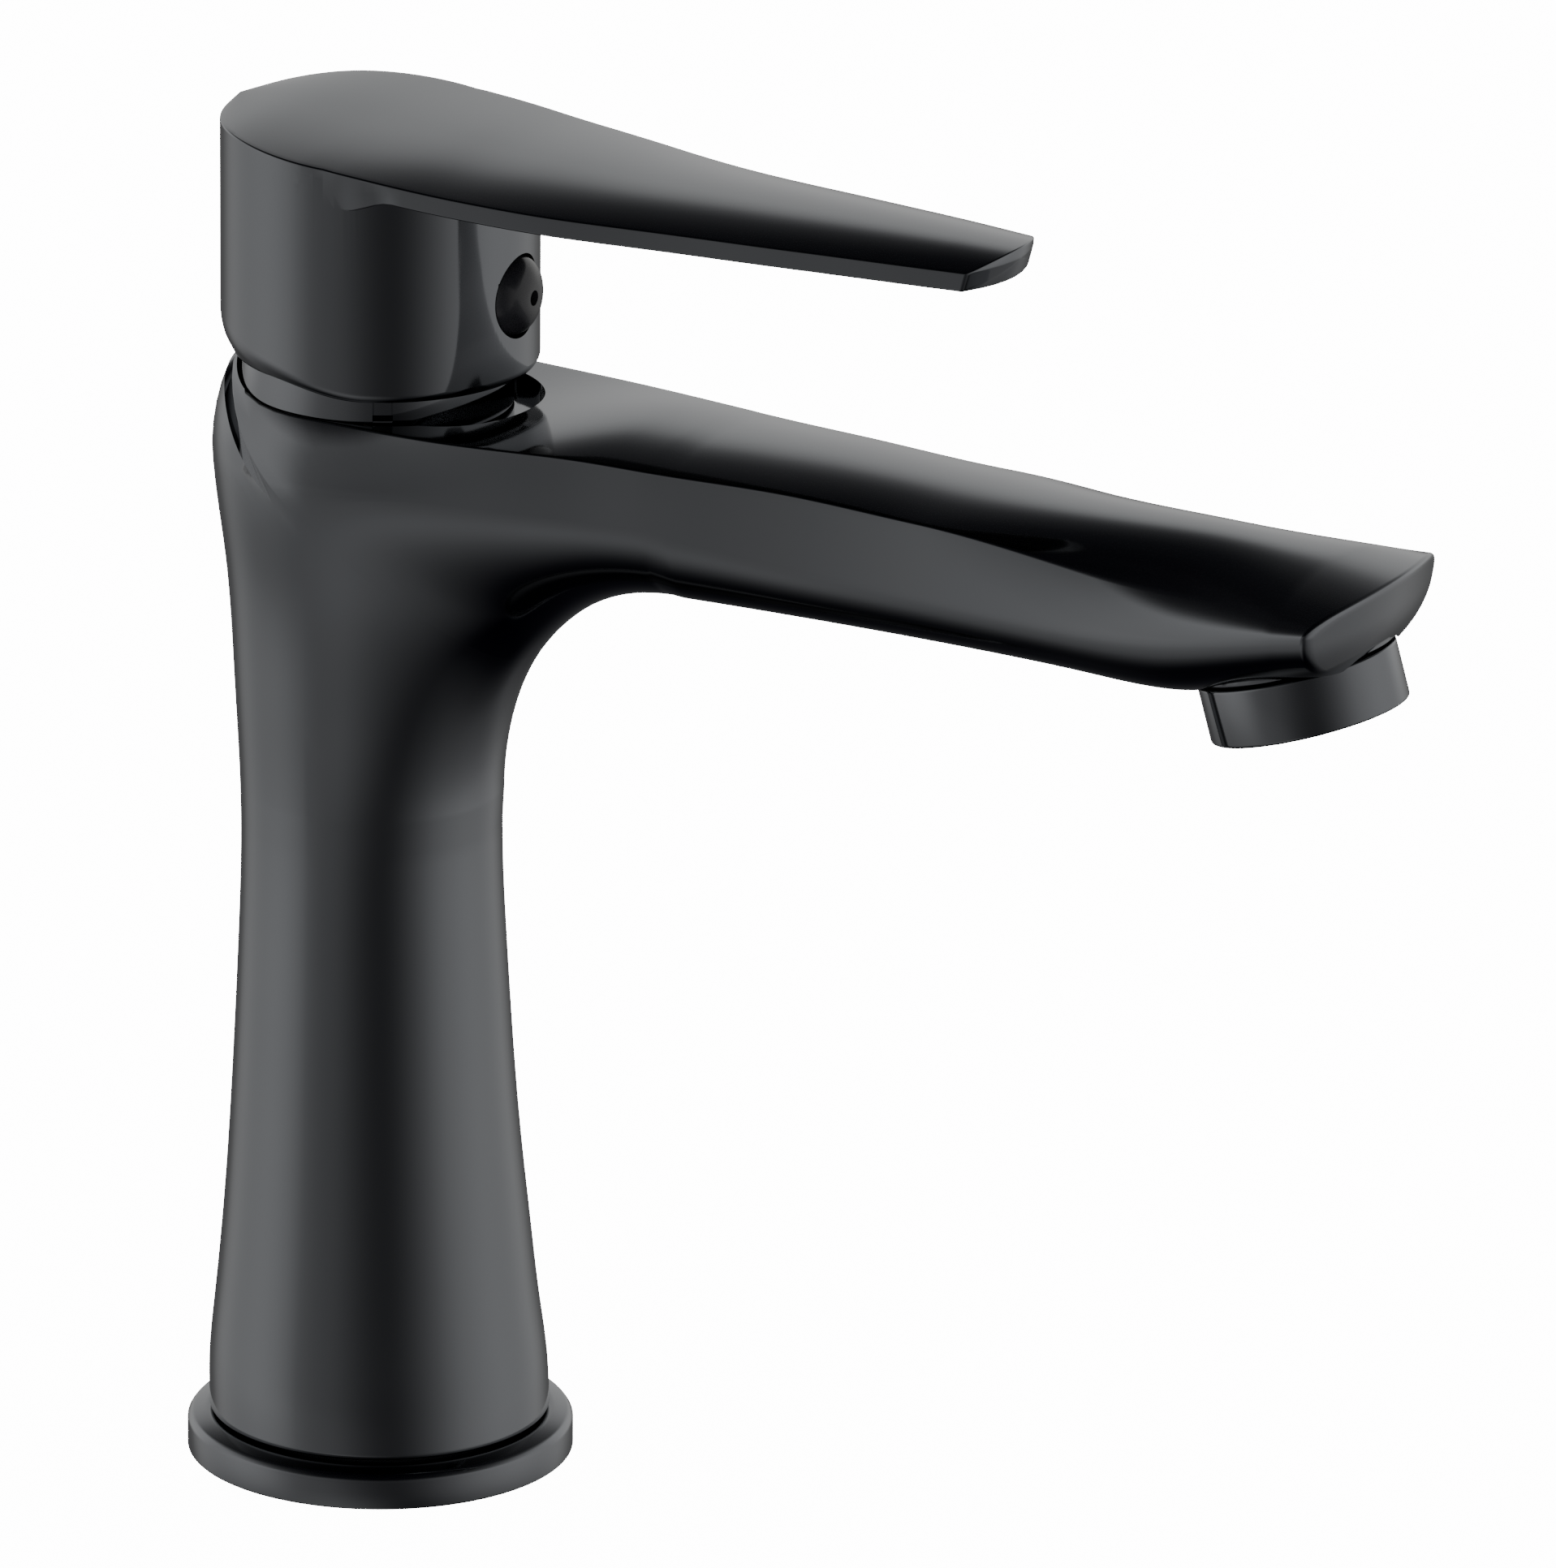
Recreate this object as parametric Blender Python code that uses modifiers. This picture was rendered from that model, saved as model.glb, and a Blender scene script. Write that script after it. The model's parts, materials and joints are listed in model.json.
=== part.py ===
"""Single-lever basin mixer: hollow body with spout, lever handle, ceramic-disc cartridge, aerator.

Frame: metres, +Z up, origin at the centre of the deck face under the base ring, spout toward -Y,
mirror-symmetric about X = 0. The builders work in millimetres and scale once, in new_object.
"""

from math import cos, degrees, pi, radians, sin, sqrt

import bmesh
import bpy
import numpy as np
from mathutils import Matrix, Vector

MM = 0.001
GAP = 0.3  # clearance between neighbouring pieces

# Driving dimensions, in millimetres
BASE_R = 25.0
BASE_TOP_Z = 5.2
BASE_BORE_R = 17.0
BODY_FOOT_Z = 5.6
WIDEST_Z = 136.0  # level where head and spout are widest
HEAD_R = 21.5
RIM_R = 18.4  # inner wall of the head's rim
FAN_U = 46.0  # pivot of the section planes that turn from column to spout
FAN_Z = 90.0
CROTCH_REACH = 30.2
CROTCH_RISE = 34.0
SPOUT_END = 150.0  # loft runs past the end face, which is cut after
CLEAR_TOP_Z = 151.0  # the loft runs up to here, above the top that is cut after
CLOSING_ANGLE = radians(44.0)  # fan planes below this angle leave through the back

DRUM_R = 20.4
CAVITY_R = 18.2
SLOT_START = radians(56.0)  # half-angles from the spout's direction to the sleeve's slots
BAND_START = radians(64.0)
PIVOT_Z = 137.5
LEVER_TIP = 91.5
LEVER_EDGE = 2.5
SCREW_Z = 159.0
BUTTON_R = 5.3

FLOOR_Z = 112.0  # floor of the cartridge chamber
CHAMBER_R = 13.0
NUT_THREAD_R = 15.2
POCKET_Z = 142.0
PORT_R = 3.0
WATERWAY_R = 2.7
HOT_X = 6.1
PORT_Y = 3.45
OUTLET_Y = -7.0
INLET_X = 6.8

AERATOR_R = 12.9
AERATOR_TILT = radians(16.3)
AERATOR_U = 132.9  # centre of the outlet rim
AERATOR_Z = 121.0
AERATOR_RING = 7.7

# Column radius and centre line, from foot to widest level: (z, radius, centre toward the spout)
COLUMN = (
    (5.6, 22.0, -0.1), (12.0, 21.9, -0.3), (20.0, 21.05, -0.5), (30.0, 20.0, -0.6), (41.0, 19.0, -0.8),
    (54.0, 18.1, -1.0), (70.0, 17.25, -1.15), (88.0, 16.85, -1.25), (104.0, 17.8, -1.0),
    (121.5, 19.5, -0.4), (130.3, 20.9, -0.1), (136.0, 21.5, 0.0), (150.0, 21.5, 0.0),
)
# Spout half-width at its widest level: (distance from the axis, half-width)
SPOUT_PLAN = (
    (-30.0, 21.5), (0.0, 21.5), (4.0, 21.1), (10.0, 20.0), (17.0, 18.6), (28.0, 16.9), (36.0, 15.7),
    (46.0, 14.7), (58.0, 13.5), (70.0, 12.8), (82.0, 12.8), (94.0, 13.4), (106.0, 14.4), (120.0, 16.1),
    (132.0, 17.5), (142.0, 18.4), (150.0, 18.9),
)
# Ratio of the crease's half-width to the widest half-width
CREASE_RATIO = ((-30.0, 0.86), (0.0, 0.86), (10.0, 0.89), (17.0, 0.945), (28.0, 0.975), (150.0, 0.975))
# Height of the top edge along the spout, rim included
TOP_EDGE = (
    (-24.0, 149.2), (-18.5, 148.4), (-16.0, 146.8), (-13.5, 145.7), (-10.0, 145.0), (0.0, 144.7),
    (8.0, 144.4), (20.0, 144.1), (36.0, 144.05), (50.0, 143.6), (65.0, 143.3), (80.0, 142.5),
    (94.0, 142.1), (110.0, 142.0), (160.0, 142.0),
)
SPOUT_UNDERSIDE = (
    (46.0, 124.0), (90.0, 124.0), (104.0, 123.8), (114.0, 123.5), (119.0, 123.8), (125.0, 125.2),
    (131.0, 127.0), (138.0, 129.1), (150.0, 132.6),
)
# Height where the spout's own rounded top would close
SPOUT_CLOSE = ((46.0, 172.0), (66.0, 167.0), (86.0, 155.7), (94.0, 148.4), (100.0, 145.4), (106.0, 143.9),
               (112.0, 143.2), (120.0, 142.7), (142.0, 141.4), (150.0, 141.0))
# Height where the spout is widest
SPOUT_WIDEST = ((46.0, 136.0), (104.0, 136.0), (120.0, 136.6), (142.0, 137.9), (150.0, 138.3))

# Lever half-width and top edge height along its length
LEVER_PLAN = ((4.0, 20.3), (11.5, 20.0), (17.5, 19.4), (25.0, 18.5), (31.0, 17.6), (38.0, 16.2), (46.0, 14.7),
              (54.0, 13.6), (62.0, 12.7), (70.0, 11.7), (78.0, 10.7), (86.0, 9.6), (91.5, 8.9))
LEVER_TOP = ((-20.4, 179.6), (-14.0, 179.8), (-8.0, 179.5), (-2.0, 179.0), (5.0, 178.4), (12.0, 177.75),
             (18.0, 177.15), (25.0, 176.6), (36.0, 175.9), (48.0, 175.5), (62.0, 175.3), (78.0, 175.1),
             (91.5, 174.8))
# Rise of the lever's top between its edges
LEVER_CROWN = ((-20.4, 0.4), (0.0, 0.6), (20.0, 1.2), (45.0, 1.7), (70.0, 1.7), (91.5, 1.5))

FINISHES = {
    "black_chrome": ((0.13, 0.135, 0.145), 0.09, 1.0),
    "brass": ((0.62, 0.45, 0.20), 0.30, 1.0),
    "steel": ((0.55, 0.55, 0.56), 0.28, 1.0),
    "rubber": ((0.02, 0.02, 0.02), 0.75, 0.0),
    "ceramic": ((0.86, 0.85, 0.82), 0.20, 0.0),
    "plastic": ((0.70, 0.72, 0.74), 0.45, 0.0),
    "dark_plastic": ((0.04, 0.04, 0.045), 0.40, 0.0),
}


def smooth_curve(knots, at, column=1):
    """Value at a place on the natural cubic spline through the knots."""
    x = np.array([knot[0] for knot in knots])
    y = np.array([knot[column] for knot in knots])
    step = np.diff(x)
    slope = np.diff(y) / step
    size = len(x)
    system = np.eye(size)
    right = np.zeros(size)
    for i in range(1, size - 1):
        system[i, i - 1:i + 2] = step[i - 1], 2.0 * (step[i - 1] + step[i]), step[i]
        right[i] = 6.0 * (slope[i] - slope[i - 1])
    bend = np.linalg.solve(system, right)
    at = min(max(at, x[0]), x[-1])
    i = min(max(int(np.searchsorted(x, at)) - 1, 0), size - 2)
    a, b = x[i + 1] - at, at - x[i]
    h = step[i]
    return float(
        (bend[i] * a**3 + bend[i + 1] * b**3) / (6.0 * h)
        + (y[i] / h - bend[i] * h / 6.0) * a + (y[i + 1] / h - bend[i + 1] * h / 6.0) * b
    )


def ease(value, low, high):
    """0 below low, 1 above high, smooth between."""
    t = min(max((value - low) / (high - low), 0.0), 1.0)
    return t * t * (3.0 - 2.0 * t)


# ---------------------------------------------------------------- scene and objects

def clear_scene():
    for obj in list(bpy.data.objects):
        bpy.data.objects.remove(obj, do_unlink=True)


def make_collection(name, hidden=False):
    collection = bpy.data.collections.new(name)
    collection.hide_render = hidden
    bpy.context.scene.collection.children.link(collection)
    return collection


def make_materials():
    made = {}
    for name, (color, roughness, metallic) in FINISHES.items():
        material = bpy.data.materials.new(name)
        material.use_nodes = True
        shader = material.node_tree.nodes["Principled BSDF"]
        shader.inputs["Base Color"].default_value = (*color, 1.0)
        shader.inputs["Roughness"].default_value = roughness
        shader.inputs["Metallic"].default_value = metallic
        made[name] = material
    return made


def new_object(name, mesh_mm, finish=None, origin=(0.0, 0.0, 0.0)):
    """An object from a bmesh in millimetres, with its origin at a point in millimetres."""
    bmesh.ops.translate(mesh_mm, verts=mesh_mm.verts, vec=-Vector(origin))
    bmesh.ops.scale(mesh_mm, verts=mesh_mm.verts, vec=(MM, MM, MM))
    bmesh.ops.recalc_face_normals(mesh_mm, faces=mesh_mm.faces)
    mesh = bpy.data.meshes.new(name)
    mesh_mm.to_mesh(mesh)
    mesh_mm.free()
    mesh.shade_smooth()
    mesh.set_sharp_from_angle(angle=radians(35.0))
    obj = bpy.data.objects.new(name, mesh)
    obj.location = Vector(origin) * MM
    if finish:
        mesh.materials.append(MATERIALS[finish])
        PARTS.objects.link(obj)
    else:
        obj.hide_render = True
        obj.display_type = "WIRE"
        CUTTERS.objects.link(obj)
    return obj


def turned(name, profile, finish=None, steps=48, origin=(0.0, 0.0, 0.0)):
    """A closed (radius, height) outline turned about Z, heights measured in the object's frame."""
    area = sum(a[0] * b[1] - b[0] * a[1] for a, b in zip(profile, profile[1:] + profile[:1]))
    points = list(profile) if area < 0 else list(reversed(profile))
    on_axis = min(point[0] for point in points) < 1e-6
    outline = bmesh.new()
    verts = [outline.verts.new((max(r, 0.0) * MM, 0.0, z * MM)) for r, z in points]
    for i, vert in enumerate(verts):
        after = verts[(i + 1) % len(verts)]
        if not (on_axis and vert.co.x < 1e-9 and after.co.x < 1e-9):
            outline.edges.new((vert, after))
    mesh = bpy.data.meshes.new(name)
    outline.to_mesh(mesh)
    outline.free()
    obj = bpy.data.objects.new(name, mesh)
    obj.location = Vector(origin) * MM
    screw = obj.modifiers.new("Turn", "SCREW")
    screw.axis = "Z"
    screw.steps = screw.render_steps = steps
    screw.use_merge_vertices = True
    screw.merge_threshold = 1e-6
    screw.use_smooth_shade = True
    if finish:
        mesh.materials.append(MATERIALS[finish])
        PARTS.objects.link(obj)
    else:
        obj.hide_render = True
        obj.display_type = "WIRE"
        CUTTERS.objects.link(obj)
    return obj


def rod(radius, low, high):
    """Outline of a solid rod for turned()."""
    return [(0.0, high), (radius, high), (radius, low), (0.0, low)]


def ring(inner, outer, low, high):
    """Outline of a plain ring for turned()."""
    return [(inner, high), (outer, high), (outer, low), (inner, low)]


def box(name, low, high, finish=None):
    """A block between two corners, in millimetres."""
    block = bmesh.new()
    bmesh.ops.create_cube(block, size=1.0)
    size = [b - a for a, b in zip(low, high)]
    middle = [(a + b) / 2.0 for a, b in zip(low, high)]
    bmesh.ops.scale(block, verts=block.verts, vec=size)
    bmesh.ops.translate(block, verts=block.verts, vec=middle)
    return new_object(name, block, finish)


def loft(name, sections, finish=None, origin=(0.0, 0.0, 0.0), endless=False):
    """A closed solid through rings of equal point counts, flat caps at both ends unless it is endless."""
    mesh = bmesh.new()
    rings = [[mesh.verts.new(point) for point in section] for section in sections]
    count = len(rings[0])
    for first, second in zip(rings, rings[1:] + rings[:1] if endless else rings[1:]):
        for j in range(count):
            k = (j + 1) % count
            mesh.faces.new((first[j], first[k], second[k], second[j]))
    if not endless:
        mesh.faces.new(list(reversed(rings[0])))
        mesh.faces.new(rings[-1])
    return new_object(name, mesh, finish, origin)


def combine(obj, other, operation="DIFFERENCE"):
    """Keeps a live Boolean on the object. The exact solver leaves open edges in the castings."""
    modifier = obj.modifiers.new(f"{operation.title()} {other.name}", "BOOLEAN")
    modifier.operation = operation
    modifier.object = other
    modifier.solver = "MANIFOLD"
    return obj


def lay_along(obj, start, direction):
    """Stands a turned object on a point, with its own Z along a direction."""
    turn = Vector((0.0, 0.0, 1.0)).rotation_difference(Vector(direction).normalized())
    obj.matrix_world = Matrix.Translation(Vector(start) * MM) @ turn.to_matrix().to_4x4()
    return obj


# ---------------------------------------------------------------- body shape

def column_radius(z):
    return smooth_curve(COLUMN, z, 1)


def column_centre(z):
    return smooth_curve(COLUMN, z, 2)


def shoulder_radius(u, z):
    """Radius of the head above its widest level; the shoulder is taller toward the back."""
    if z <= WIDEST_Z:
        return column_radius(z)
    height = (smooth_curve(TOP_EDGE, min(u, 0.0)) - WIDEST_Z) / sqrt(1.0 - 0.856**2)
    rise = min((z - WIDEST_Z) / height, 0.95)
    return HEAD_R * sqrt(1.0 - rise * rise)


def outer_half_width(u, z, turned_share):
    """Half-width on and outside the widest line; turned_share is 0 on the column, 1 on the spout."""
    radius = shoulder_radius(u, z)
    if u <= 0.0:
        across = u - column_centre(z)
        return sqrt(max(radius * radius - across * across, 0.0))
    crease = smooth_curve(CREASE_RATIO, u)
    share = (1.0 - radius / HEAD_R) / (1.0 - 0.856) if z > WIDEST_Z else 0.0
    narrowing = 1.0 - (1.0 - crease) * share if z > WIDEST_Z else radius / HEAD_R
    plan = HEAD_R + (smooth_curve(SPOUT_PLAN, u) - HEAD_R) * turned_share
    return plan * narrowing


def fan_point(angle, reach):
    """(u, z) at a distance from the fan's pivot, in the plane at this angle above the level."""
    return FAN_U - reach * cos(angle), FAN_Z + reach * sin(angle)


def column_section(z, inner_points, outer_points):
    """Half of the column's round section, from its front to its back: (u, z, half-width)."""
    radius, centre = column_radius(z), column_centre(z)
    turns = [0.5 * pi * i / inner_points for i in range(inner_points + 1)]
    turns += [0.5 * pi * (1.0 + i / outer_points) for i in range(1, outer_points + 1)]
    return [(centre + radius * cos(turn), z, radius * sin(turn)) for turn in turns]


def back_reach(angle):
    """Distance from the fan's pivot to the head's back surface, in the plane at this angle."""
    low, high = FAN_U, 115.0
    for _ in range(50):
        middle = (low + high) / 2.0
        u, z = fan_point(angle, middle)
        inside = column_centre(z) - u < shoulder_radius(u, z)
        low, high = (middle, high) if inside else (low, middle)
    return low


def turning_section(angle, inner_points, outer_points):
    """Half section of the elbow between column and spout, from the crotch to the back or the top."""
    share = ease(degrees(angle), 0.0, 50.0)
    inner = 1.0 / sqrt((cos(angle) / CROTCH_REACH) ** 2 + (sin(angle) / CROTCH_RISE) ** 2)
    middle = FAN_U / (cos(angle) ** 10 + sin(angle) ** 10) ** 0.1 - column_centre(FAN_Z) * (1.0 - share)
    power = 2.0 + 0.25 * share
    half = []
    for i in range(inner_points + 1):
        t = cos(0.5 * pi * i / inner_points)
        u, z = fan_point(angle, middle - (middle - inner) * t)
        width = outer_half_width(max(u, 0.0) if share == 0.0 else u, z, share)
        half.append((u, z, width * (1.0 - t**power) ** (1.0 / power)))
    closes = angle < CLOSING_ANGLE
    outer = back_reach(angle) if closes else (CLEAR_TOP_Z - FAN_Z) / sin(angle)
    for i in range(1, outer_points + 1):
        t = sin(0.5 * pi * i / outer_points) if closes else min(i / (outer_points - 1), 1.0)
        u, z = fan_point(angle, middle + (outer - middle) * t)
        half.append((u, z, outer_half_width(u, z, share) if i < outer_points else 0.0))
    return half


def spout_section(u, inner_points, outer_points):
    """Upright half section of the spout, from its underside to its top."""
    low, close = smooth_curve(SPOUT_UNDERSIDE, u), smooth_curve(SPOUT_CLOSE, u)
    width, widest = smooth_curve(SPOUT_PLAN, u), smooth_curve(SPOUT_WIDEST, u)
    power = 2.25
    half = []
    for i in range(inner_points + 1):
        t = cos(0.5 * pi * i / inner_points)
        half.append((u, widest - (widest - low) * t, width * (1.0 - t**power) ** (1.0 / power)))
    flat = close > CLEAR_TOP_Z
    for i in range(1, outer_points + 1):
        step = min(i / (outer_points - 1), 1.0) if flat else sin(0.5 * pi * i / outer_points)
        z = widest + (min(close, CLEAR_TOP_Z) - widest) * step
        t = min((z - widest) / (close - widest), 1.0)
        half.append((u, z, width * (1.0 - t**power) ** (1.0 / power) if i < outer_points else 0.0))
    return half


def whole_section(half):
    """Closed ring of points from a half section whose first and last points are on the mirror plane."""
    near = [(-w, -u, z) for u, z, w in half]
    far = [(w, -u, z) for u, z, w in reversed(half[1:-1])]
    near[0] = (0.0, near[0][1], near[0][2])
    near[-1] = (0.0, near[-1][1], near[-1][2])
    return near + far


def body_sections(column_levels, fan_steps, spout_stations, inner_points, outer_points):
    """All rings of the body's outside, from foot to spout end."""
    halves = [column_section(z, inner_points, outer_points) for z in column_levels]
    for i in range(fan_steps + 1):
        halves.append(turning_section(0.5 * pi * i / fan_steps, inner_points, outer_points))
    halves += [spout_section(u, inner_points, outer_points) for u in spout_stations]
    return [whole_section(half) for half in halves]


def surface_block(name, rows, columns, height_at, far_height):
    """Cutter between a height field over a grid and a flat level beyond it, both in millimetres."""
    mesh = bmesh.new()
    near = [[mesh.verts.new(height_at(a, b)) for b in columns] for a in rows]
    far = [[mesh.verts.new(far_height(vert.co)) for vert in line] for line in near]
    last_row, last_column = len(rows) - 1, len(columns) - 1
    for i in range(last_row):
        for j in range(last_column):
            mesh.faces.new((near[i][j], near[i][j + 1], near[i + 1][j + 1], near[i + 1][j]))
            mesh.faces.new((far[i][j], far[i + 1][j], far[i + 1][j + 1], far[i][j + 1]))
    border = [(0, j) for j in range(last_column)] + [(i, last_column) for i in range(last_row)]
    border += [(last_row, j) for j in range(last_column, 0, -1)] + [(i, 0) for i in range(last_row, 0, -1)]
    for here, after in zip(border, border[1:] + border[:1]):
        (a, b), (c, d) = here, after
        mesh.faces.new((near[a][b], far[a][b], far[c][d], near[c][d]))
    return new_object(name, mesh)


def top_cutter():
    """Everything above the rim and the crowned top of the spout."""
    def surface(u, share):
        width = smooth_curve(SPOUT_PLAN, u)
        crown = 1.6 * ease(u, 16.0, 40.0)
        across = share * 1.6 * width
        return across, -u, smooth_curve(TOP_EDGE, u) + crown * (1.0 - (share * 1.6) ** 2)

    rows = list(np.linspace(-24.0, -4.0, 11)) + list(np.linspace(4.0, 156.0, 20))
    return surface_block("top_cutter", rows, [i / 8.0 for i in range(-8, 9)], surface,
                         lambda point: (point.x, point.y, 175.0))


def end_cutter():
    """Everything past the end face: bowed forward in plan, tucked in near its foot."""
    def surface(z, share):
        across = 22.0 * share
        tuck = 3.8 * (max(137.0 - z, 0.0) / 8.3) ** 2.5
        return across, -(144.3 - 3.0 * (across / 18.3) ** 2 - tuck), z

    return surface_block("end_cutter", [122.0, 124.0, 126.0, 127.5, 129.0, 130.5, 132.0, 134.0, 137.0, 148.0],
                         [i / 8.0 for i in range(-8, 9)], surface,
                         lambda point: (point.x, -175.0, point.z))


def aerator_point(rise):
    """A point on the aerator's axis, at a distance above its outlet rim."""
    return (0.0, -(AERATOR_U - rise * sin(AERATOR_TILT)), AERATOR_Z + rise * cos(AERATOR_TILT))


AERATOR_UP = (0.0, sin(AERATOR_TILT), cos(AERATOR_TILT))


def along_aerator(name, profile, finish=None, steps=48):
    """A turned piece on the aerator's axis, heights measured up from the outlet rim."""
    return lay_along(turned(name, profile, finish, steps), aerator_point(0.0), AERATOR_UP)


AERATOR_SOCKET = [(0.0, 14.6), (11.5, 14.6), (11.5, AERATOR_RING + GAP),
                  (AERATOR_R + 0.35, AERATOR_RING + GAP),
                  (AERATOR_R + 0.35, -4.0), (0.0, -4.0)]


def waterway_cutter():
    """Passage from the outlet port, up and along the spout to the aerator's socket."""
    route = ((0.0, OUTLET_Y, FLOOR_Z + 1.0), (0.0, OUTLET_Y, 108.6), (0.0, -12.0, 107.6), (0.0, -16.0, 109.8),
             (0.0, -18.6, 114.0), (0.0, -22.5, 120.5), (0.0, -30.0, 127.5), (0.0, -42.0, 131.5),
             (0.0, -54.0, 133.5), (0.0, -90.0, 132.5), (0.0, -108.0, 131.0), (0.0, -121.5, 129.4))
    curve = bpy.data.curves.new("waterway", "CURVE")
    curve.dimensions = "3D"
    curve.bevel_depth = WATERWAY_R * MM
    curve.bevel_resolution = 2
    curve.use_fill_caps = True
    spline = curve.splines.new("POLY")
    spline.points.add(len(route) - 1)
    for point, place in zip(spline.points, route):
        point.co = (*(Vector(place) * MM), 1.0)
    guide = bpy.data.objects.new("waterway_guide", curve)
    CUTTERS.objects.link(guide)
    bpy.context.view_layer.update()
    mesh = bpy.data.meshes.new_from_object(guide.evaluated_get(bpy.context.evaluated_depsgraph_get()))
    bpy.data.objects.remove(guide)
    tidy = bmesh.new()
    tidy.from_mesh(mesh)
    bmesh.ops.remove_doubles(tidy, verts=tidy.verts, dist=1e-7)
    bmesh.ops.recalc_face_normals(tidy, faces=tidy.faces)
    tidy.to_mesh(mesh)
    tidy.free()
    tube = bpy.data.objects.new("waterway_cutter", mesh)
    tube.hide_render = True
    tube.display_type = "WIRE"
    CUTTERS.objects.link(tube)
    return tube


def make_body():
    levels = [BODY_FOOT_Z, 6.2, 12.0, 21.0, 31.0, 42.0, 54.0, 66.0, 78.0]
    stations = [50.0, 56.0, 64.0, 72.0, 80.0, 87.0, 93.0, 98.0, 103.0, 108.0, 114.0, 119.0, 124.0, 130.0,
                136.0, 142.0, SPOUT_END]
    body = loft("faucet_body", body_sections(levels, 16, stations, 9, 8), "black_chrome")
    boss = along_aerator("aerator_boss", rod(AERATOR_R, AERATOR_RING + GAP, 13.0))
    combine(body, boss, "UNION")
    front = turned("front_pocket_cutter", rod(14.0, POCKET_Z, 165.0), None, 48, (0.0, -8.0, 0.0))
    hollow = turned("hollow_cutter", [
        (0.0, 165.0), (RIM_R, 165.0), (RIM_R, POCKET_Z), (NUT_THREAD_R + GAP, POCKET_Z),
        (NUT_THREAD_R + GAP, 134.5), (CHAMBER_R, 134.5), (CHAMBER_R, FLOOR_Z), (0.0, FLOOR_Z),
    ], None, 64)
    supply = turned("supply_cavity_cutter", rod(13.0, 0.0, 60.0))
    hollows = [front, waterway_cutter(), supply]
    for side in (-1.0, 1.0):
        hollows.append(turned("inlet_socket_cutter", rod(5.0, 54.0, 76.0), None, 22,
                              (side * INLET_X, 0.0, 0.0)))
        hollows.append(turned("inlet_passage_cutter", rod(PORT_R - 0.2, 74.5, FLOOR_Z + 1.3), None, 18,
                              (side * HOT_X, PORT_Y, 0.0)))
    hollows.append(turned("stud_hole_cutter", rod(3.8, 55.0, 74.0), None, 16, (0.0, 8.6, 0.0)))
    for other in hollows:
        combine(hollow, other, "UNION")
    socket = along_aerator("aerator_socket_cutter", AERATOR_SOCKET)
    for cutter in (top_cutter(), end_cutter(), socket, hollow):
        combine(body, cutter)
    return body


# ---------------------------------------------------------------- base and supply

def make_base():
    outline = [(BASE_BORE_R, BASE_TOP_Z), (22.4, BASE_TOP_Z), (24.6, 4.3), (BASE_R, 3.9), (BASE_R, 0.0),
               (23.3, 0.0), (23.3, 1.7), (18.7, 1.7), (18.7, 0.0), (BASE_BORE_R, 0.0)]
    turned("base_ring", outline, "black_chrome", 48)
    turned("base_gasket", ring(19.0, 23.0, 0.0, 1.4), "rubber", 32)


def make_inlet(name, side):
    """Threaded nipple that a supply hose screws onto, with its O-ring."""
    outline = [(2.5, 74.0), (4.7, 74.0), (4.7, 69.3), (3.9, 69.3), (3.9, 66.9), (4.7, 66.9), (4.7, 59.7),
               (5.7, 59.2), (5.7, 54.0), (4.6, 53.0), (4.6, 48.0), (2.5, 48.0)]
    place = (side * INLET_X, 0.0, 0.0)
    turned(f"{name}_inlet_nipple", outline, "brass", 20, place)
    turned(f"{name}_inlet_oring", ring(4.1, 4.7, 67.4, 68.8), "rubber", 20, place)


# ---------------------------------------------------------------- cartridge

PORTS = {"hot": (-HOT_X, PORT_Y), "cold": (HOT_X, PORT_Y), "outlet": (0.0, OUTLET_Y)}


def drill_ports(obj, radius, low, high):
    for x, y in PORTS.values():
        combine(obj, turned("port_cutter", rod(radius, low, high), None, 20, (x, y, 0.0)))


def make_cartridge_base():
    base = turned("cartridge_base", rod(12.6, FLOOR_Z + 0.6, 117.0), "plastic", 40)
    drill_ports(base, PORT_R, FLOOR_Z, 118.0)
    drill_ports(base, 4.4, FLOOR_Z, 114.5)
    for name, (x, y) in PORTS.items():
        turned(f"port_seal_{name}", ring(3.1, 4.1, FLOOR_Z + GAP, 114.2), "rubber", 20, (x, y, 0.0))


def make_discs():
    fixed = turned("ceramic_disc_fixed", rod(11.6, 117.3, 120.3), "ceramic", 40)
    drill_ports(fixed, PORT_R, 116.0, 121.0)
    moving = turned("ceramic_disc_moving", rod(9.0, 120.6, 124.0), "ceramic", 40)
    combine(moving, turned("mixing_recess_cutter", rod(6.2, 120.0, 122.4), None, 24, (0.0, -0.9, 0.0)))
    driver = turned("disc_driver", rod(8.8, 124.3, 131.5), "plastic", 32)
    combine(driver, box("driver_pocket_cutter", (-2.6, -2.6, 127.0), (2.6, 2.6, 132.0)))


def cross_pin(name, radius, reach, finish=None):
    """A rod along X on the lever's pivot."""
    pin = turned(name, rod(radius, -reach, reach), finish, 16)
    return lay_along(pin, (0.0, 0.0, PIVOT_Z), (1.0, 0.0, 0.0))


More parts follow.
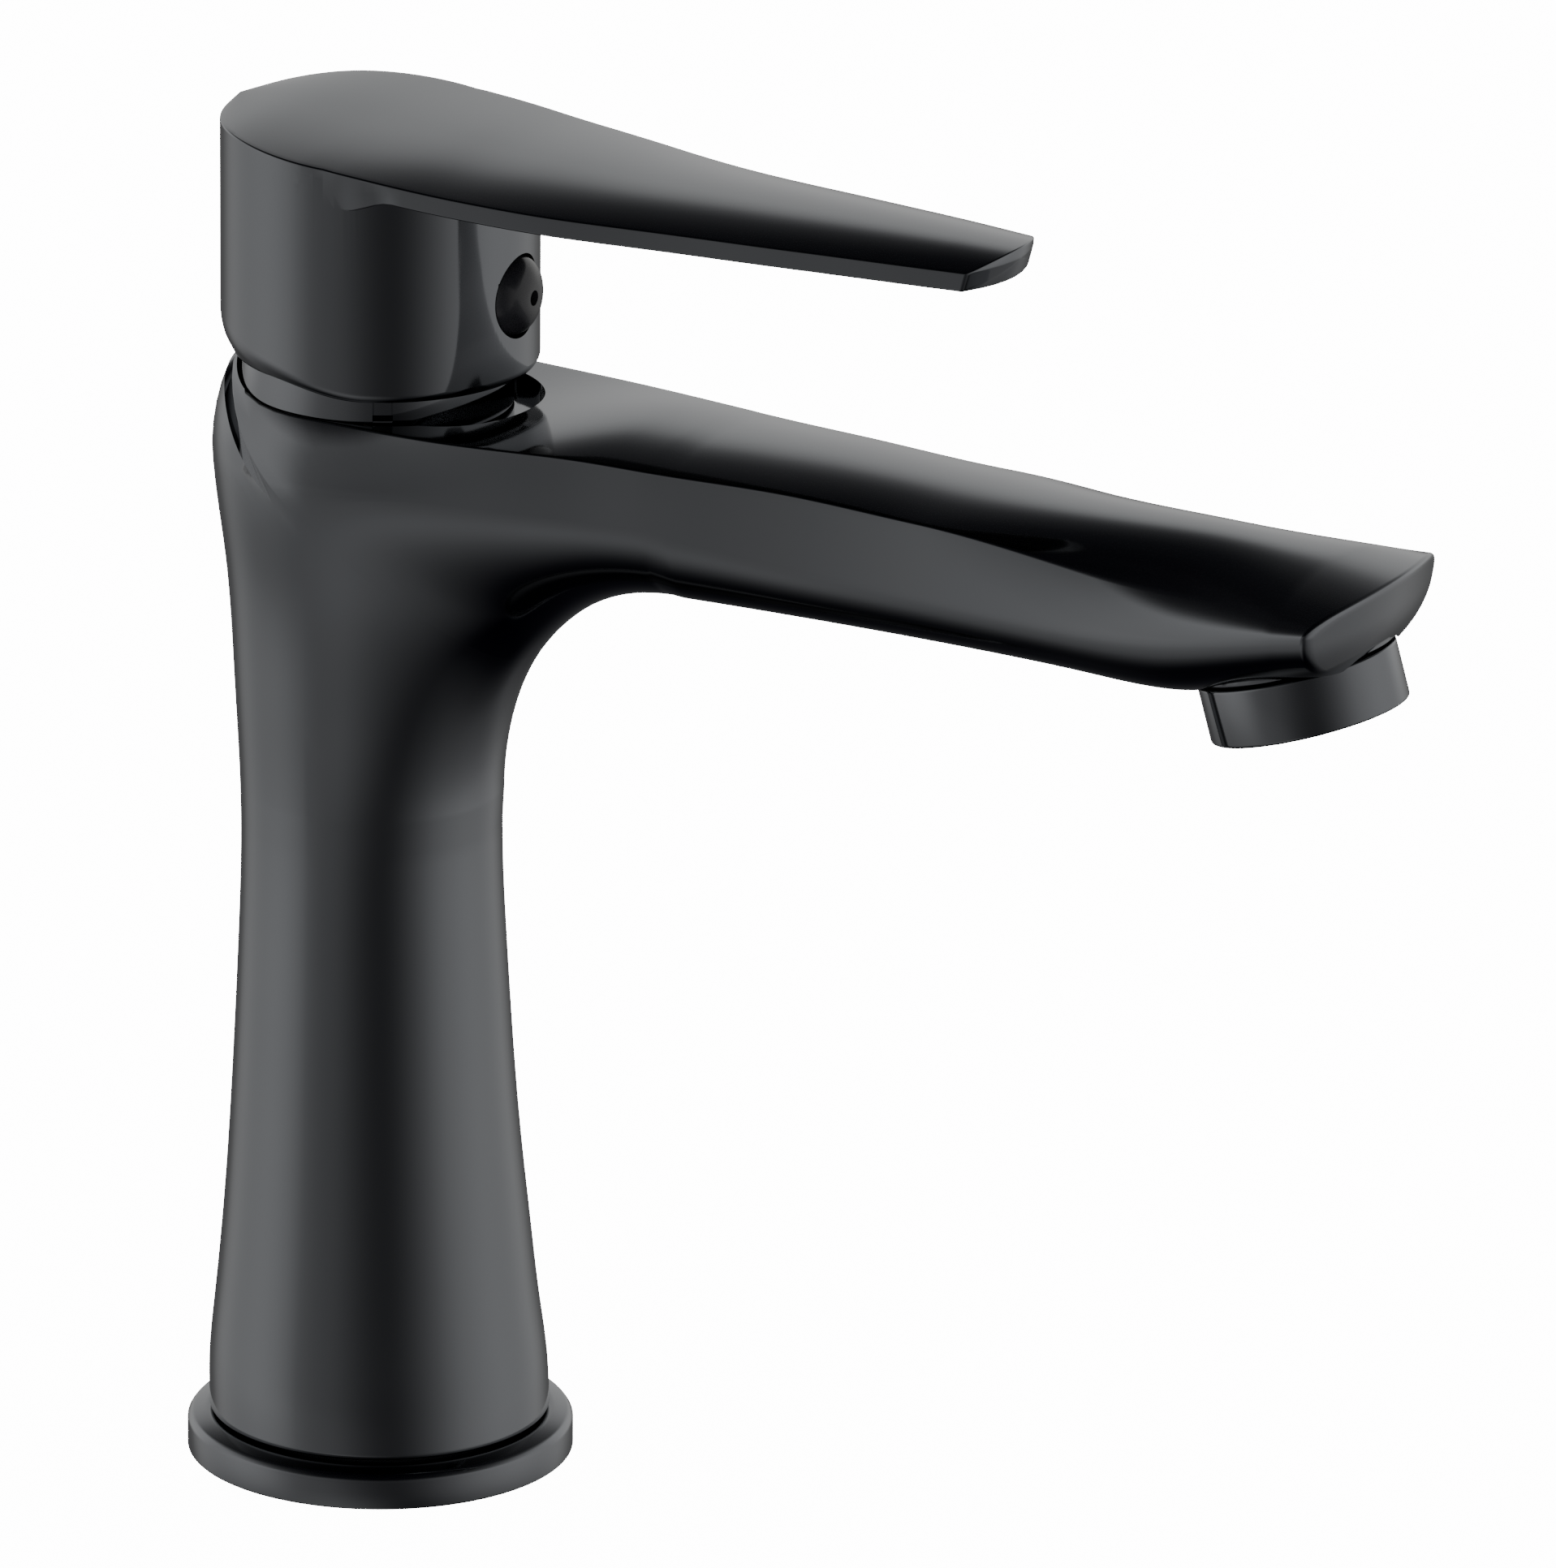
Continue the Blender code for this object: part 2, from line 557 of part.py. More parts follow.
def make_stem():
    """The stem, its carrier and the pin they share."""
    carrier = turned("stem_carrier", rod(11.6, 132.0, 139.7), "plastic", 40)
    combine(carrier, box("carrier_slot_cutter", (-3.3, -6.5, 131.0), (3.3, 6.5, 142.0)))
    combine(carrier, cross_pin("carrier_pin_cutter", 1.7, 13.0))
    cross_pin("pivot_pin", 1.4, 9.5, "steel")
    stem = box("cartridge_stem", (-3.0, -3.0, 133.0), (3.0, 3.0, 168.0), "brass")
    combine(stem, turned("stem_shank", rod(1.8, 129.0, 134.0), None, 16), "UNION")
    knob = bmesh.new()
    bmesh.ops.create_uvsphere(knob, u_segments=16, v_segments=8, radius=2.2)
    bmesh.ops.translate(knob, verts=knob.verts, vec=(0.0, 0.0, 130.0))
    combine(stem, new_object("stem_ball", knob), "UNION")
    combine(stem, cross_pin("stem_pin_cutter", 1.7, 13.0))


def make_housing():
    outline = [(8.3, 146.0), (10.6, 146.0), (10.6, 141.5), (12.7, 141.5), (12.7, 117.3), (11.9, 117.3),
               (11.9, 140.0), (8.3, 140.0)]
    turned("cartridge_housing", outline, "plastic", 48)
    nut_outline = [(10.9, 144.1), (16.6, 144.1), (16.6, POCKET_Z + GAP), (NUT_THREAD_R, POCKET_Z + GAP),
                   (NUT_THREAD_R, 135.0), (13.0, 135.0), (13.0, 141.8), (10.9, 141.8)]
    nut = turned("cartridge_nut", nut_outline, "brass", 48)
    for i in range(4):
        slit = box("spanner_slit_cutter", (-1.2, -20.0, 143.0), (1.2, -14.2, 145.0))
        slit.rotation_euler.z = pi * (0.25 + 0.5 * i)
        combine(nut, slit)


# ---------------------------------------------------------------- trim sleeve

def make_trim_sleeve():
    """Sleeve between drum and body: a full band behind, a low wall between two slots in front."""
    steps = 60

    def section(turn):
        front = cos(turn)
        if front > cos(SLOT_START):
            wall, top = 17.1, 147.6
            outer = [(wall, top), (wall, 144.4)]
        elif front > cos(BAND_START):
            outer = [(15.8, 147.6), (15.8, 144.4)]
        else:
            outer = [(17.4, 149.0), (18.1, 144.6)]
        points = [(11.3, 145.7), (15.2, 145.7), (15.2, outer[0][1]), *outer, (outer[1][0] - 0.6, 144.4),
                  (11.3, 144.4)]
        return [(r * sin(turn), -r * cos(turn), z) for r, z in points]

    sharp = 0.003
    turns = list(np.linspace(-pi + 2.0 * pi / steps, pi, steps))
    turns += [side * (edge + nudge) for side in (-1, 1) for edge in (SLOT_START, BAND_START)
              for nudge in (-sharp, sharp)]
    loft("trim_sleeve", [section(turn) for turn in sorted(turns)], "black_chrome", endless=True)


# ---------------------------------------------------------------- handle

def lever_half_width(u):
    """Half-width of the lever's plate, round behind and at the tip."""
    if u < 4.0:
        return sqrt(max(DRUM_R**2 - u * u, 0.0))
    nose = max(u - 88.0, 0.0) / (LEVER_TIP - 88.0)
    return smooth_curve(LEVER_PLAN, u) * sqrt(max(1.0 - nose * nose, 0.0))


def lever_section(u):
    """Ring of points round the plate: flat below, crowned on top."""
    width, top = lever_half_width(u), smooth_curve(LEVER_TOP, u)
    low, crown = top - LEVER_EDGE, smooth_curve(LEVER_CROWN, u)
    side = [(max(width - 0.5, 0.3), low), (width, low + 0.4), (width, top - 0.3),
            (max(width - 0.3, 0.4), top), (0.6 * width, top + 0.67 * crown)]
    right = [(x, -u, z) for x, z in side]
    left = [(-x, -u, z) for x, z in reversed(side)]
    return [(0.0, -u, low), *right, (0.0, -u, top + crown), *left]


def drum_bottom(u):
    """Lower edge of the drum; the back is higher, to clear the shoulder as the lever lifts."""
    return 148.0 + 1.6 * ease(-u, -8.0, 6.0)


def drum_section(turn):
    """Outline of the drum's wall at an angle from the spout's direction."""
    back = (0.5 * (1.0 - cos(turn))) ** 3
    low, rise, depth = drum_bottom(DRUM_R * cos(turn)), 0.7 + 3.9 * back, 0.35 + 1.85 * back
    top = smooth_curve(LEVER_TOP, DRUM_R * cos(turn)) - 1.3
    outline = [(DRUM_R, top), (DRUM_R, low + rise), (DRUM_R - 0.42 * depth, low + 0.48 * rise),
               (DRUM_R - depth, low), (CAVITY_R, low), (CAVITY_R, top)]
    return [(r * sin(turn), -r * cos(turn), z) for r, z in outline]


def make_handle():
    back = [-DRUM_R * cos(turn) for turn in np.linspace(0.12, 0.5 * pi, 12)]
    stations = back + [4.0, 11.5, 18.0, 25.0, 32.0, 40.0, 50.0, 60.0, 70.0, 80.0, 86.0, 88.0, 89.6, 90.8,
                       91.4]
    handle = loft("handle", [lever_section(u) for u in stations], "black_chrome", (0.0, 0.0, PIVOT_Z))
    walls = [drum_section(turn) for turn in np.linspace(0.0, 2.0 * pi, 65)[:-1]]
    drum = loft("drum_wall", walls, endless=True)
    boss = turned("socket_boss", rod(7.5, 151.5, 176.5), None, 32)
    rib = lay_along(turned("screw_rib", rod(7.6, 4.0, 18.9), None, 32), (0.0, 0.0, SCREW_Z), (0.0, -1.0, 0.0))
    for other in (drum, boss, rib):
        combine(handle, other, "UNION")
    combine(handle, box("stem_socket_cutter", (-3.3, -3.3, 150.0), (3.3, 3.3, 168.3)))
    bore = turned("screw_bore_cutter", [(0.0, 30.0), (BUTTON_R + GAP, 30.0), (BUTTON_R + GAP, 17.6),
                                        (2.4, 17.6), (2.4, 2.0), (0.0, 2.0)], None, 32)
    combine(handle, lay_along(bore, (0.0, 0.0, SCREW_Z), (0.0, -1.0, 0.0)))


def make_screw_and_cover():
    outline = [(0.0, 7.5), (1.1, 7.5), (1.1, 9.5), (2.0, 9.5), (2.0, 4.0), (1.4, 3.4), (0.0, 3.4)]
    screw = turned("grub_screw", outline, "steel", 18)
    dome = [(1.0, 22.3), (3.0, 21.9), (4.5, 20.9), (BUTTON_R, 19.3), (BUTTON_R, 18.0), (1.0, 18.0)]
    cover = turned("screw_cover", dome, "dark_plastic", 32)
    for piece in (screw, cover):
        lay_along(piece, (0.0, 0.0, SCREW_Z), (0.0, -1.0, 0.0))


# ---------------------------------------------------------------- aerator

def drill_jets(obj, radius, low, high):
    """Rings of small holes along the aerator's axis."""
    for count, spread in ((1, 0.0), (6, 3.3), (10, 6.4)):
        for i in range(count):
            turn = 2.0 * pi * i / count
            jet = turned("jet_cutter", rod(radius, low, high), None, 6)
            across, along = spread * cos(turn), spread * sin(turn)
            step = Vector((across, along * cos(AERATOR_TILT), -along * sin(AERATOR_TILT)))
            foot = Vector(aerator_point(0.0)) + step
            combine(obj, lay_along(jet, foot, AERATOR_UP))


def make_aerator():
    outline = [(10.4, 13.0), (11.1, 13.0), (11.1, 7.6), (AERATOR_R, 7.6), (AERATOR_R, 0.6), (12.3, 0.0),
               (10.9, 0.0), (10.9, 9.0), (10.4, 9.0)]
    along_aerator("aerator_housing", outline, "black_chrome", 48)
    cup = [(0.0, 3.4), (8.9, 3.4), (8.9, 8.6), (10.5, 8.6), (10.5, 1.0), (0.0, 1.0)]
    insert = along_aerator("aerator_insert", cup, "dark_plastic", 32)
    drill_jets(insert, 1.0, 0.0, 5.0)
    screen = along_aerator("aerator_screen", rod(8.5, 6.6, 7.4), "steel", 32)
    drill_jets(screen, 0.8, 5.5, 8.5)
    along_aerator("aerator_washer", ring(8.2, 11.0, 13.3, 14.3), "rubber", 32)


clear_scene()
PARTS = make_collection("basin_mixer_faucet")
CUTTERS = make_collection("cutters", hidden=True)
MATERIALS = make_materials()
make_body()
make_base()
make_inlet("hot", -1.0)
make_inlet("cold", 1.0)
make_cartridge_base()
make_discs()
make_stem()
make_housing()
make_trim_sleeve()
make_handle()
make_screw_and_cover()
make_aerator()
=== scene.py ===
"""Basin mixer faucet in polished black chrome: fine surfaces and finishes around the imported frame.

Lengths inside the classes are millimetres in the frame of the part: +Z up, spout toward -Y, so that
u = -y grows toward the spout's end. Meshes are scaled to metres once, when a piece is made.
"""

import json
import logging
from dataclasses import dataclass
from enum import Enum
from math import cos, degrees, pi, radians, sin, sqrt
from typing import Callable, ClassVar, Sequence

import bmesh
import bpy
import numpy as np
from mathutils import Matrix, Vector

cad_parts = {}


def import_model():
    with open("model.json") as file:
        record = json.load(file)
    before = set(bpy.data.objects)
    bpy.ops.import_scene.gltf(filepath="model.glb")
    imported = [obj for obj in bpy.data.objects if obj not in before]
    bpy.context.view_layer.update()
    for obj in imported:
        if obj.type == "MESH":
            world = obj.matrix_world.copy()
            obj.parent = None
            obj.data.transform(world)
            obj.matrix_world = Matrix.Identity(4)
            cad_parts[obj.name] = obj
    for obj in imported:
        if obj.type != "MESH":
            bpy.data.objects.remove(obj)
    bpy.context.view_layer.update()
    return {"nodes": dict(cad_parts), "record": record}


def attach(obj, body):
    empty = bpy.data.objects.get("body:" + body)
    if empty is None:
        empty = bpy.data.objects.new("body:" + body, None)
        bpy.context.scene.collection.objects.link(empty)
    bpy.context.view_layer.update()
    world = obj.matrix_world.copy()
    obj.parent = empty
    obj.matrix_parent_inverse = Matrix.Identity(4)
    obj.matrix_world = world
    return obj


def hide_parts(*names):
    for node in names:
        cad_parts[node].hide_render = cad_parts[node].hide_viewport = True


LOG = logging.getLogger("basin_mixer")
MM = 0.001
GAP = 0.3  # clearance between neighbouring pieces, as in the frame
ON_AXIS = 1e-6  # an outline's corner nearer the axis than this lies on it
FORWARD = (0.0, -1.0, 0.0)

Knots = tuple[tuple[float, ...], ...]
Outline = Sequence[tuple[float, float]]
Point = tuple[float, float, float]
Half = list[Point]  # (u, z, half-width) from the underside's middle to the top's


class Body(Enum):
    """The rigid bodies that the pieces ride on."""

    ROOT = "root"
    LEVER = "lever"


class Cut(Enum):
    """How one solid changes another."""

    SUBTRACT = "DIFFERENCE"
    JOIN = "UNION"


# ---------------------------------------------------------------- curves

def smooth_curve(knots: Knots, at: float, column: int = 1) -> float:
    """Value on the natural cubic spline through the knots.

    Args:
        knots: rows of a place and its values, in order of place.
        at: the place, held inside the knots' range.
        column: which value of a row to follow.

    Returns:
        The spline's value there.
    """
    x = np.array([knot[0] for knot in knots])
    y = np.array([knot[column] for knot in knots])
    step = np.diff(x)
    slope = np.diff(y) / step
    size = len(x)
    system = np.eye(size)
    right = np.zeros(size)
    for i in range(1, size - 1):
        system[i, i - 1:i + 2] = step[i - 1], 2.0 * (step[i - 1] + step[i]), step[i]
        right[i] = 6.0 * (slope[i] - slope[i - 1])
    bend = np.linalg.solve(system, right)
    at = min(max(at, x[0]), x[-1])
    i = min(max(int(np.searchsorted(x, at)) - 1, 0), size - 2)
    a, b, h = x[i + 1] - at, at - x[i], step[i]
    return float(
        (bend[i] * a**3 + bend[i + 1] * b**3) / (6.0 * h)
        + (y[i] / h - bend[i] * h / 6.0) * a + (y[i + 1] / h - bend[i + 1] * h / 6.0) * b
    )


@dataclass(frozen=True)
class Curve:
    """A smooth curve through a few knots, sampled once so that it is quick to read.

    Attributes:
        knots: rows of a place and its values, in order of place.
        column: which value of a row to follow.
        samples: how many even places are read from the spline.
    """

    knots: Knots
    column: int = 1
    samples: int = 600

    def __post_init__(self) -> None:
        """Reads the spline at even places."""
        places = np.linspace(self.knots[0][0], self.knots[-1][0], self.samples)
        values = np.array([smooth_curve(self.knots, place, self.column) for place in places])
        object.__setattr__(self, "_places", places)
        object.__setattr__(self, "_values", values)

    def __call__(self, at: float) -> float:
        """The curve's value at a place."""
        return float(np.interp(at, self._places, self._values))


def ease(value: float, low: float, high: float) -> float:
    """Rises smoothly from 0 at low to 1 at high, and stays level outside."""
    t = min(max((value - low) / (high - low), 0.0), 1.0)
    return t * t * (3.0 - 2.0 * t)


def solve(rising: Callable[[float], float], low: float, high: float) -> float:
    """Finds where a rising function crosses zero.

    Args:
        rising: the function, below zero at low and above it at high.
        low: lower end of the search.
        high: upper end of the search.

    Returns:
        The crossing, found by halving.
    """
    for _ in range(44):
        middle = 0.5 * (low + high)
        low, high = (low, middle) if rising(middle) > 0.0 else (middle, high)
    return 0.5 * (low + high)


def rounded(before: Point, corner: Point, after: Point, steps: int = 3) -> list[Point]:
    """Rounds a corner with a curve that its two neighbours and the corner itself guide.

    Args:
        before: point where the rounding starts.
        corner: the sharp corner.
        after: point where the rounding ends.
        steps: how many points to put between the two ends.

    Returns:
        The points between the ends, in order.
    """
    points = []
    for i in range(1, steps + 1):
        t = i / (steps + 1)
        weights = ((1.0 - t) ** 2, 2.0 * t * (1.0 - t), t * t)
        guides = list(zip(weights, (before, corner, after)))
        points.append(tuple(sum(weight * guide[k] for weight, guide in guides) for k in range(3)))
    return points


# ---------------------------------------------------------------- making solids

SHARP_AFTER_EASING = 50.0  # degrees: steeper edges stay sharp in the shading once a piece's edges are eased
FACE_WEIGHT = 60  # how much more large faces count in the shading than small ones


def new_piece(name: str, mesh_mm: bmesh.types.BMesh, sharp_angle: float = 35.0) -> bpy.types.Object:
    """Makes an object in the scene from a mesh in millimetres.

    Args:
        name: the piece's name.
        mesh_mm: the mesh, which is freed.
        sharp_angle: edges steeper than this, in degrees, are shaded sharp.

    Returns:
        The object, its origin at the frame's origin.
    """
    bmesh.ops.scale(mesh_mm, verts=mesh_mm.verts, vec=(MM, MM, MM))
    bmesh.ops.recalc_face_normals(mesh_mm, faces=mesh_mm.faces)
    mesh = bpy.data.meshes.new(name)
    mesh_mm.to_mesh(mesh)
    mesh_mm.free()
    mesh.shade_smooth()
    mesh.set_sharp_from_angle(angle=radians(sharp_angle))
    piece = bpy.data.objects.new(name, mesh)
    bpy.context.scene.collection.objects.link(piece)
    return piece


def turned(name: str, outline: Outline, steps: int = 128,
           centre: tuple[float, float] = (0.0, 0.0)) -> bpy.types.Object:
    """A closed outline turned about an upright axis.

    Args:
        name: the piece's name.
        outline: (radius, height) corners in order.
        steps: faces round the axis.
        centre: the axis's x and y.

    Returns:
        The turned solid.
    """
    mesh = bmesh.new()
    rows: list[list[bmesh.types.BMVert]] = []
    for radius, height in outline:
        if radius < ON_AXIS:
            rows.append([mesh.verts.new((*centre, height))] * steps)
            continue
        turns = (2.0 * pi * i / steps for i in range(steps))
        round_points = [(centre[0] + radius * cos(t), centre[1] + radius * sin(t), height) for t in turns]
        rows.append([mesh.verts.new(point) for point in round_points])
    for first, second in zip(rows, rows[1:] + rows[:1]):
        for i in range(steps):
            j = (i + 1) % steps
            corners = list(dict.fromkeys((first[i], first[j], second[j], second[i])))
            if len(corners) > 2:
                mesh.faces.new(corners)
    return new_piece(name, mesh)


def rod(radius: float, low: float, high: float) -> Outline:
    """Outline of a solid rod for turned()."""
    return [(0.0, low), (radius, low), (radius, high), (0.0, high)]


def eased_outline(corners: Outline, radius: float = 0.25, steps: int = 3) -> Outline:
    """An outline with each corner off the axis rounded.

    Args:
        corners: the sharp outline, in order.
        radius: how far along each side the rounding starts, at most two fifths of the side.
        steps: points along each rounding.

    Returns:
        The rounded outline.
    """
    rounded_points: list[tuple[float, float]] = []
    count = len(corners)
    for i, (r, z) in enumerate(corners):
        if r < ON_AXIS:
            rounded_points.append((r, z))
            continue
        here = Vector((r, z))
        ends = []
        for neighbour in (corners[i - 1], corners[(i + 1) % count]):
            side = Vector(neighbour) - here
            ends.append(here + side * min(radius / max(side.length, 1e-9), 0.4))
        for k in range(steps + 1):
            t = k / steps
            point = ends[0] * (1.0 - t) ** 2 + here * 2.0 * t * (1.0 - t) + ends[1] * t * t
            rounded_points.append((point.x, point.y))
    return rounded_points


def box(name: str, low: Point, high: Point) -> bpy.types.Object:
    """Makes a block.

    Args:
        name: the piece's name.
        low: its corner with the smallest coordinates.
        high: its corner with the largest coordinates.

    Returns:
        The block.
    """
    block = bmesh.new()
    bmesh.ops.create_cube(block, size=1.0)
    bmesh.ops.scale(block, verts=block.verts, vec=[b - a for a, b in zip(low, high)])
    bmesh.ops.translate(block, verts=block.verts, vec=[(a + b) / 2.0 for a, b in zip(low, high)])
    return new_piece(name, block)


def loft(name: str, sections: Sequence[Sequence[Point]], endless: bool = False) -> bpy.types.Object:
    """A closed solid through rings of equal point counts.

    Args:
        name: the piece's name.
        sections: the rings, in order.
        endless: join the last ring to the first, in place of two caps.

    Returns:
        The lofted solid.
    """
    mesh = bmesh.new()
    rings = [[mesh.verts.new(point) for point in section] for section in sections]
    count = len(rings[0])
    for first, second in zip(rings, rings[1:] + rings[:1] if endless else rings[1:]):
        for j in range(count):
            k = (j + 1) % count
            mesh.faces.new((first[j], first[k], second[k], second[j]))
    if not endless:
        mesh.faces.new(list(reversed(rings[0])))
        mesh.faces.new(rings[-1])
    return new_piece(name, mesh)


def lay_along(piece: bpy.types.Object, start: Point, direction: Point) -> bpy.types.Object:
    """Stands a turned piece on a point.

    Args:
        piece: the piece, made about the upright axis.
        start: where its own origin goes.
        direction: where its own Z points.

    Returns:
        The same piece.
    """
    turn = Vector((0.0, 0.0, 1.0)).rotation_difference(Vector(direction).normalized())
    piece.data.transform(Matrix.Translation(Vector(start) * MM) @ turn.to_matrix().to_4x4())
    return piece


def combine(piece: bpy.types.Object, others: Sequence[bpy.types.Object], cut: Cut = Cut.SUBTRACT) -> None:
    """Cuts helper solids from a piece, or joins them to it.

    Args:
        piece: the piece that changes.
        others: the helper solids, which are used up.
        cut: whether they are cut away or joined on.
    """
    for other in others:
        modifier = piece.modifiers.new(cut.name.title(), "BOOLEAN")
        modifier.operation = cut.value
        modifier.solver = "MANIFOLD"
        modifier.object = other
    bake(piece)
    for other in others:
        bpy.data.objects.remove(other, do_unlink=True)


def bake(piece: bpy.types.Object) -> None:
    """Replaces a piece's mesh with what its modifiers make of it.

    Args:
        piece: the piece, which loses its modifiers.
    """
    graph = bpy.context.evaluated_depsgraph_get()
    evaluated = piece.evaluated_get(graph)
    mesh = bpy.data.meshes.new_from_object(evaluated, preserve_all_data_layers=True, depsgraph=graph)
    piece.modifiers.clear()
    piece.data = mesh


def ease_edges(piece: bpy.types.Object, width: float = 0.2, segments: int = 2, angle: float = 42.0) -> None:
    """Rounds a piece's sharp edges and evens its shading.

    Args:
        piece: the piece to finish.
        width: the rounding's width, in millimetres.
        segments: faces across the rounding.
        angle: edges steeper than this, in degrees, are rounded.
    """
    bevel = piece.modifiers.new("Eased edges", "BEVEL")
    bevel.width = width * MM
    bevel.segments = segments
    bevel.limit_method = "ANGLE"
    bevel.angle_limit = radians(angle)
    bevel.use_clamp_overlap = True
    bake(piece)
    piece.data.shade_smooth()
    piece.data.set_sharp_from_angle(angle=radians(SHARP_AFTER_EASING))
    even = piece.modifiers.new("Even shading", "WEIGHTED_NORMAL")
    even.keep_sharp = True
    even.weight = FACE_WEIGHT
    bake(piece)


def hand_over(piece: bpy.types.Object, body: Body, finish: "Finish", nodes: Sequence[str]) -> None:
    """Dresses a piece, hangs it on its body and lets it stand for its nodes.

    Args:
        piece: the finished piece.
        body: the rigid body that it moves with.
        finish: its finish, which names its slot too.
        nodes: the frame's nodes that it replaces.
    """
    piece.data.materials.clear()
    piece.data.materials.append(finish.material())
    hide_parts(*nodes)
    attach(piece, body.value)
    LOG.info("%s: %d faces on %s, in %s", piece.name, len(piece.data.polygons), body.value, finish.slot)


# ---------------------------------------------------------------- finishes

@dataclass(frozen=True)
class Finish:
    """A surface finish with a little variation in colour and polish.

    Attributes:
        slot: material slot of the record, and the material's name.
        color: mean colour.
        shade: colour that the mottling reaches.
        metallic: 1 for metal.
        roughness: roughness where the surface is best.
        wear: how much rougher it gets.
        grain: size of the grain, in millimetres.
        relief: depth of the grain, in millimetres.
        stretch: how much longer the grain is along Z than across it.
    """

    MOTTLE_SIZE: ClassVar[float] = 12.0  # size of the mottling, in grains
    MOTTLE_DETAIL: ClassVar[float] = 3.0
    GRAIN_DETAIL: ClassVar[float] = 2.0
    MOTTLE_RANGE: ClassVar[tuple[float, float]] = (0.35, 0.75)  # mottling between which the polish changes
    RELIEF_STRENGTH: ClassVar[float] = 0.6

    slot: str
    color: tuple[float, float, float]
    shade: tuple[float, float, float]
    metallic: float
    roughness: float
    wear: float
    grain: float
    relief: float
    stretch: float = 1.0

    def material(self) -> bpy.types.Material:
        """The finish's material, made on first use."""
        return bpy.data.materials.get(f"{self.slot}_finish") or self.build()

    def build(self) -> bpy.types.Material:
        """Makes the node tree: broad mottling for colour and polish, fine grain for relief.

        Returns:
            The new material.
        """
        material = bpy.data.materials.new(f"{self.slot}_finish")
        material.use_nodes = True
        nodes, links = material.node_tree.nodes, material.node_tree.links
        shader = nodes["Principled BSDF"]
        shader.inputs["Metallic"].default_value = self.metallic
        place = nodes.new("ShaderNodeTexCoord")
        spread = nodes.new("ShaderNodeMapping")
        spread.inputs["Scale"].default_value = (1.0, 1.0, 1.0 / self.stretch)
        links.new(place.outputs["Object"], spread.inputs["Vector"])
        mottle = self.noise(material.node_tree, spread, self.MOTTLE_SIZE * self.grain, self.MOTTLE_DETAIL)
        tint = nodes.new("ShaderNodeMix")
        tint.data_type = "RGBA"
        tint.inputs["A"].default_value = (*self.color, 1.0)
        tint.inputs["B"].default_value = (*self.shade, 1.0)
        links.new(mottle.outputs["Fac"], tint.inputs["Factor"])
        links.new(tint.outputs["Result"], shader.inputs["Base Color"])
        polish = nodes.new("ShaderNodeMapRange")
        polish.inputs["From Min"].default_value = self.MOTTLE_RANGE[0]
        polish.inputs["From Max"].default_value = self.MOTTLE_RANGE[1]
        polish.inputs["To Min"].default_value = self.roughness
        polish.inputs["To Max"].default_value = self.roughness + self.wear
        links.new(mottle.outputs["Fac"], polish.inputs["Value"])
        links.new(polish.outputs["Result"], shader.inputs["Roughness"])
        grain = self.noise(material.node_tree, spread, self.grain, self.GRAIN_DETAIL)
        relief = nodes.new("ShaderNodeBump")
        relief.inputs["Strength"].default_value = self.RELIEF_STRENGTH
        relief.inputs["Distance"].default_value = self.relief * MM
        links.new(grain.outputs["Fac"], relief.inputs["Height"])
        links.new(relief.outputs["Normal"], shader.inputs["Normal"])
        return material

    @staticmethod
    def noise(tree: bpy.types.NodeTree, spread: bpy.types.Node, size_mm: float,
              detail: float) -> bpy.types.Node:
        """Adds a noise texture.

        Args:
            tree: the material's node tree.
            spread: the mapping that the texture lies on.
            size_mm: about how large its features are, in millimetres.
            detail: how many finer layers it has.

        Returns:
            The texture node.
        """
        texture = tree.nodes.new("ShaderNodeTexNoise")
        texture.inputs["Scale"].default_value = 1.0 / (size_mm * MM)
        texture.inputs["Detail"].default_value = detail
        tree.links.new(spread.outputs["Vector"], texture.inputs["Vector"])
        return texture


BLACK_CHROME = Finish("black_chrome", (0.200, 0.205, 0.215), (0.188, 0.194, 0.206), 1.0, 0.065, 0.03, 3.0,
                      0.0006)
BRASS = Finish("brass", (0.62, 0.45, 0.20), (0.50, 0.34, 0.14), 1.0, 0.24, 0.14, 0.25, 0.006, 0.1)
STEEL = Finish("steel", (0.55, 0.55, 0.56), (0.46, 0.46, 0.48), 1.0, 0.24, 0.12, 0.2, 0.004, 6.0)
RUBBER = Finish("rubber", (0.020, 0.020, 0.021), (0.034, 0.033, 0.032), 0.0, 0.62, 0.2, 0.12, 0.012)
CERAMIC = Finish("ceramic", (0.86, 0.85, 0.82), (0.80, 0.79, 0.75), 0.0, 0.12, 0.10, 0.15, 0.001)
PLASTIC = Finish("plastic", (0.70, 0.72, 0.74), (0.62, 0.65, 0.68), 0.0, 0.38, 0.14, 0.3, 0.006)
DARK_PLASTIC = Finish("dark_plastic", (0.012, 0.012, 0.014), (0.018, 0.018, 0.021), 0.0, 0.14, 0.06, 2.0,
                      0.0006)
FINISHES = (BLACK_CHROME, BRASS, STEEL, RUBBER, CERAMIC, PLASTIC, DARK_PLASTIC)


# ---------------------------------------------------------------- body

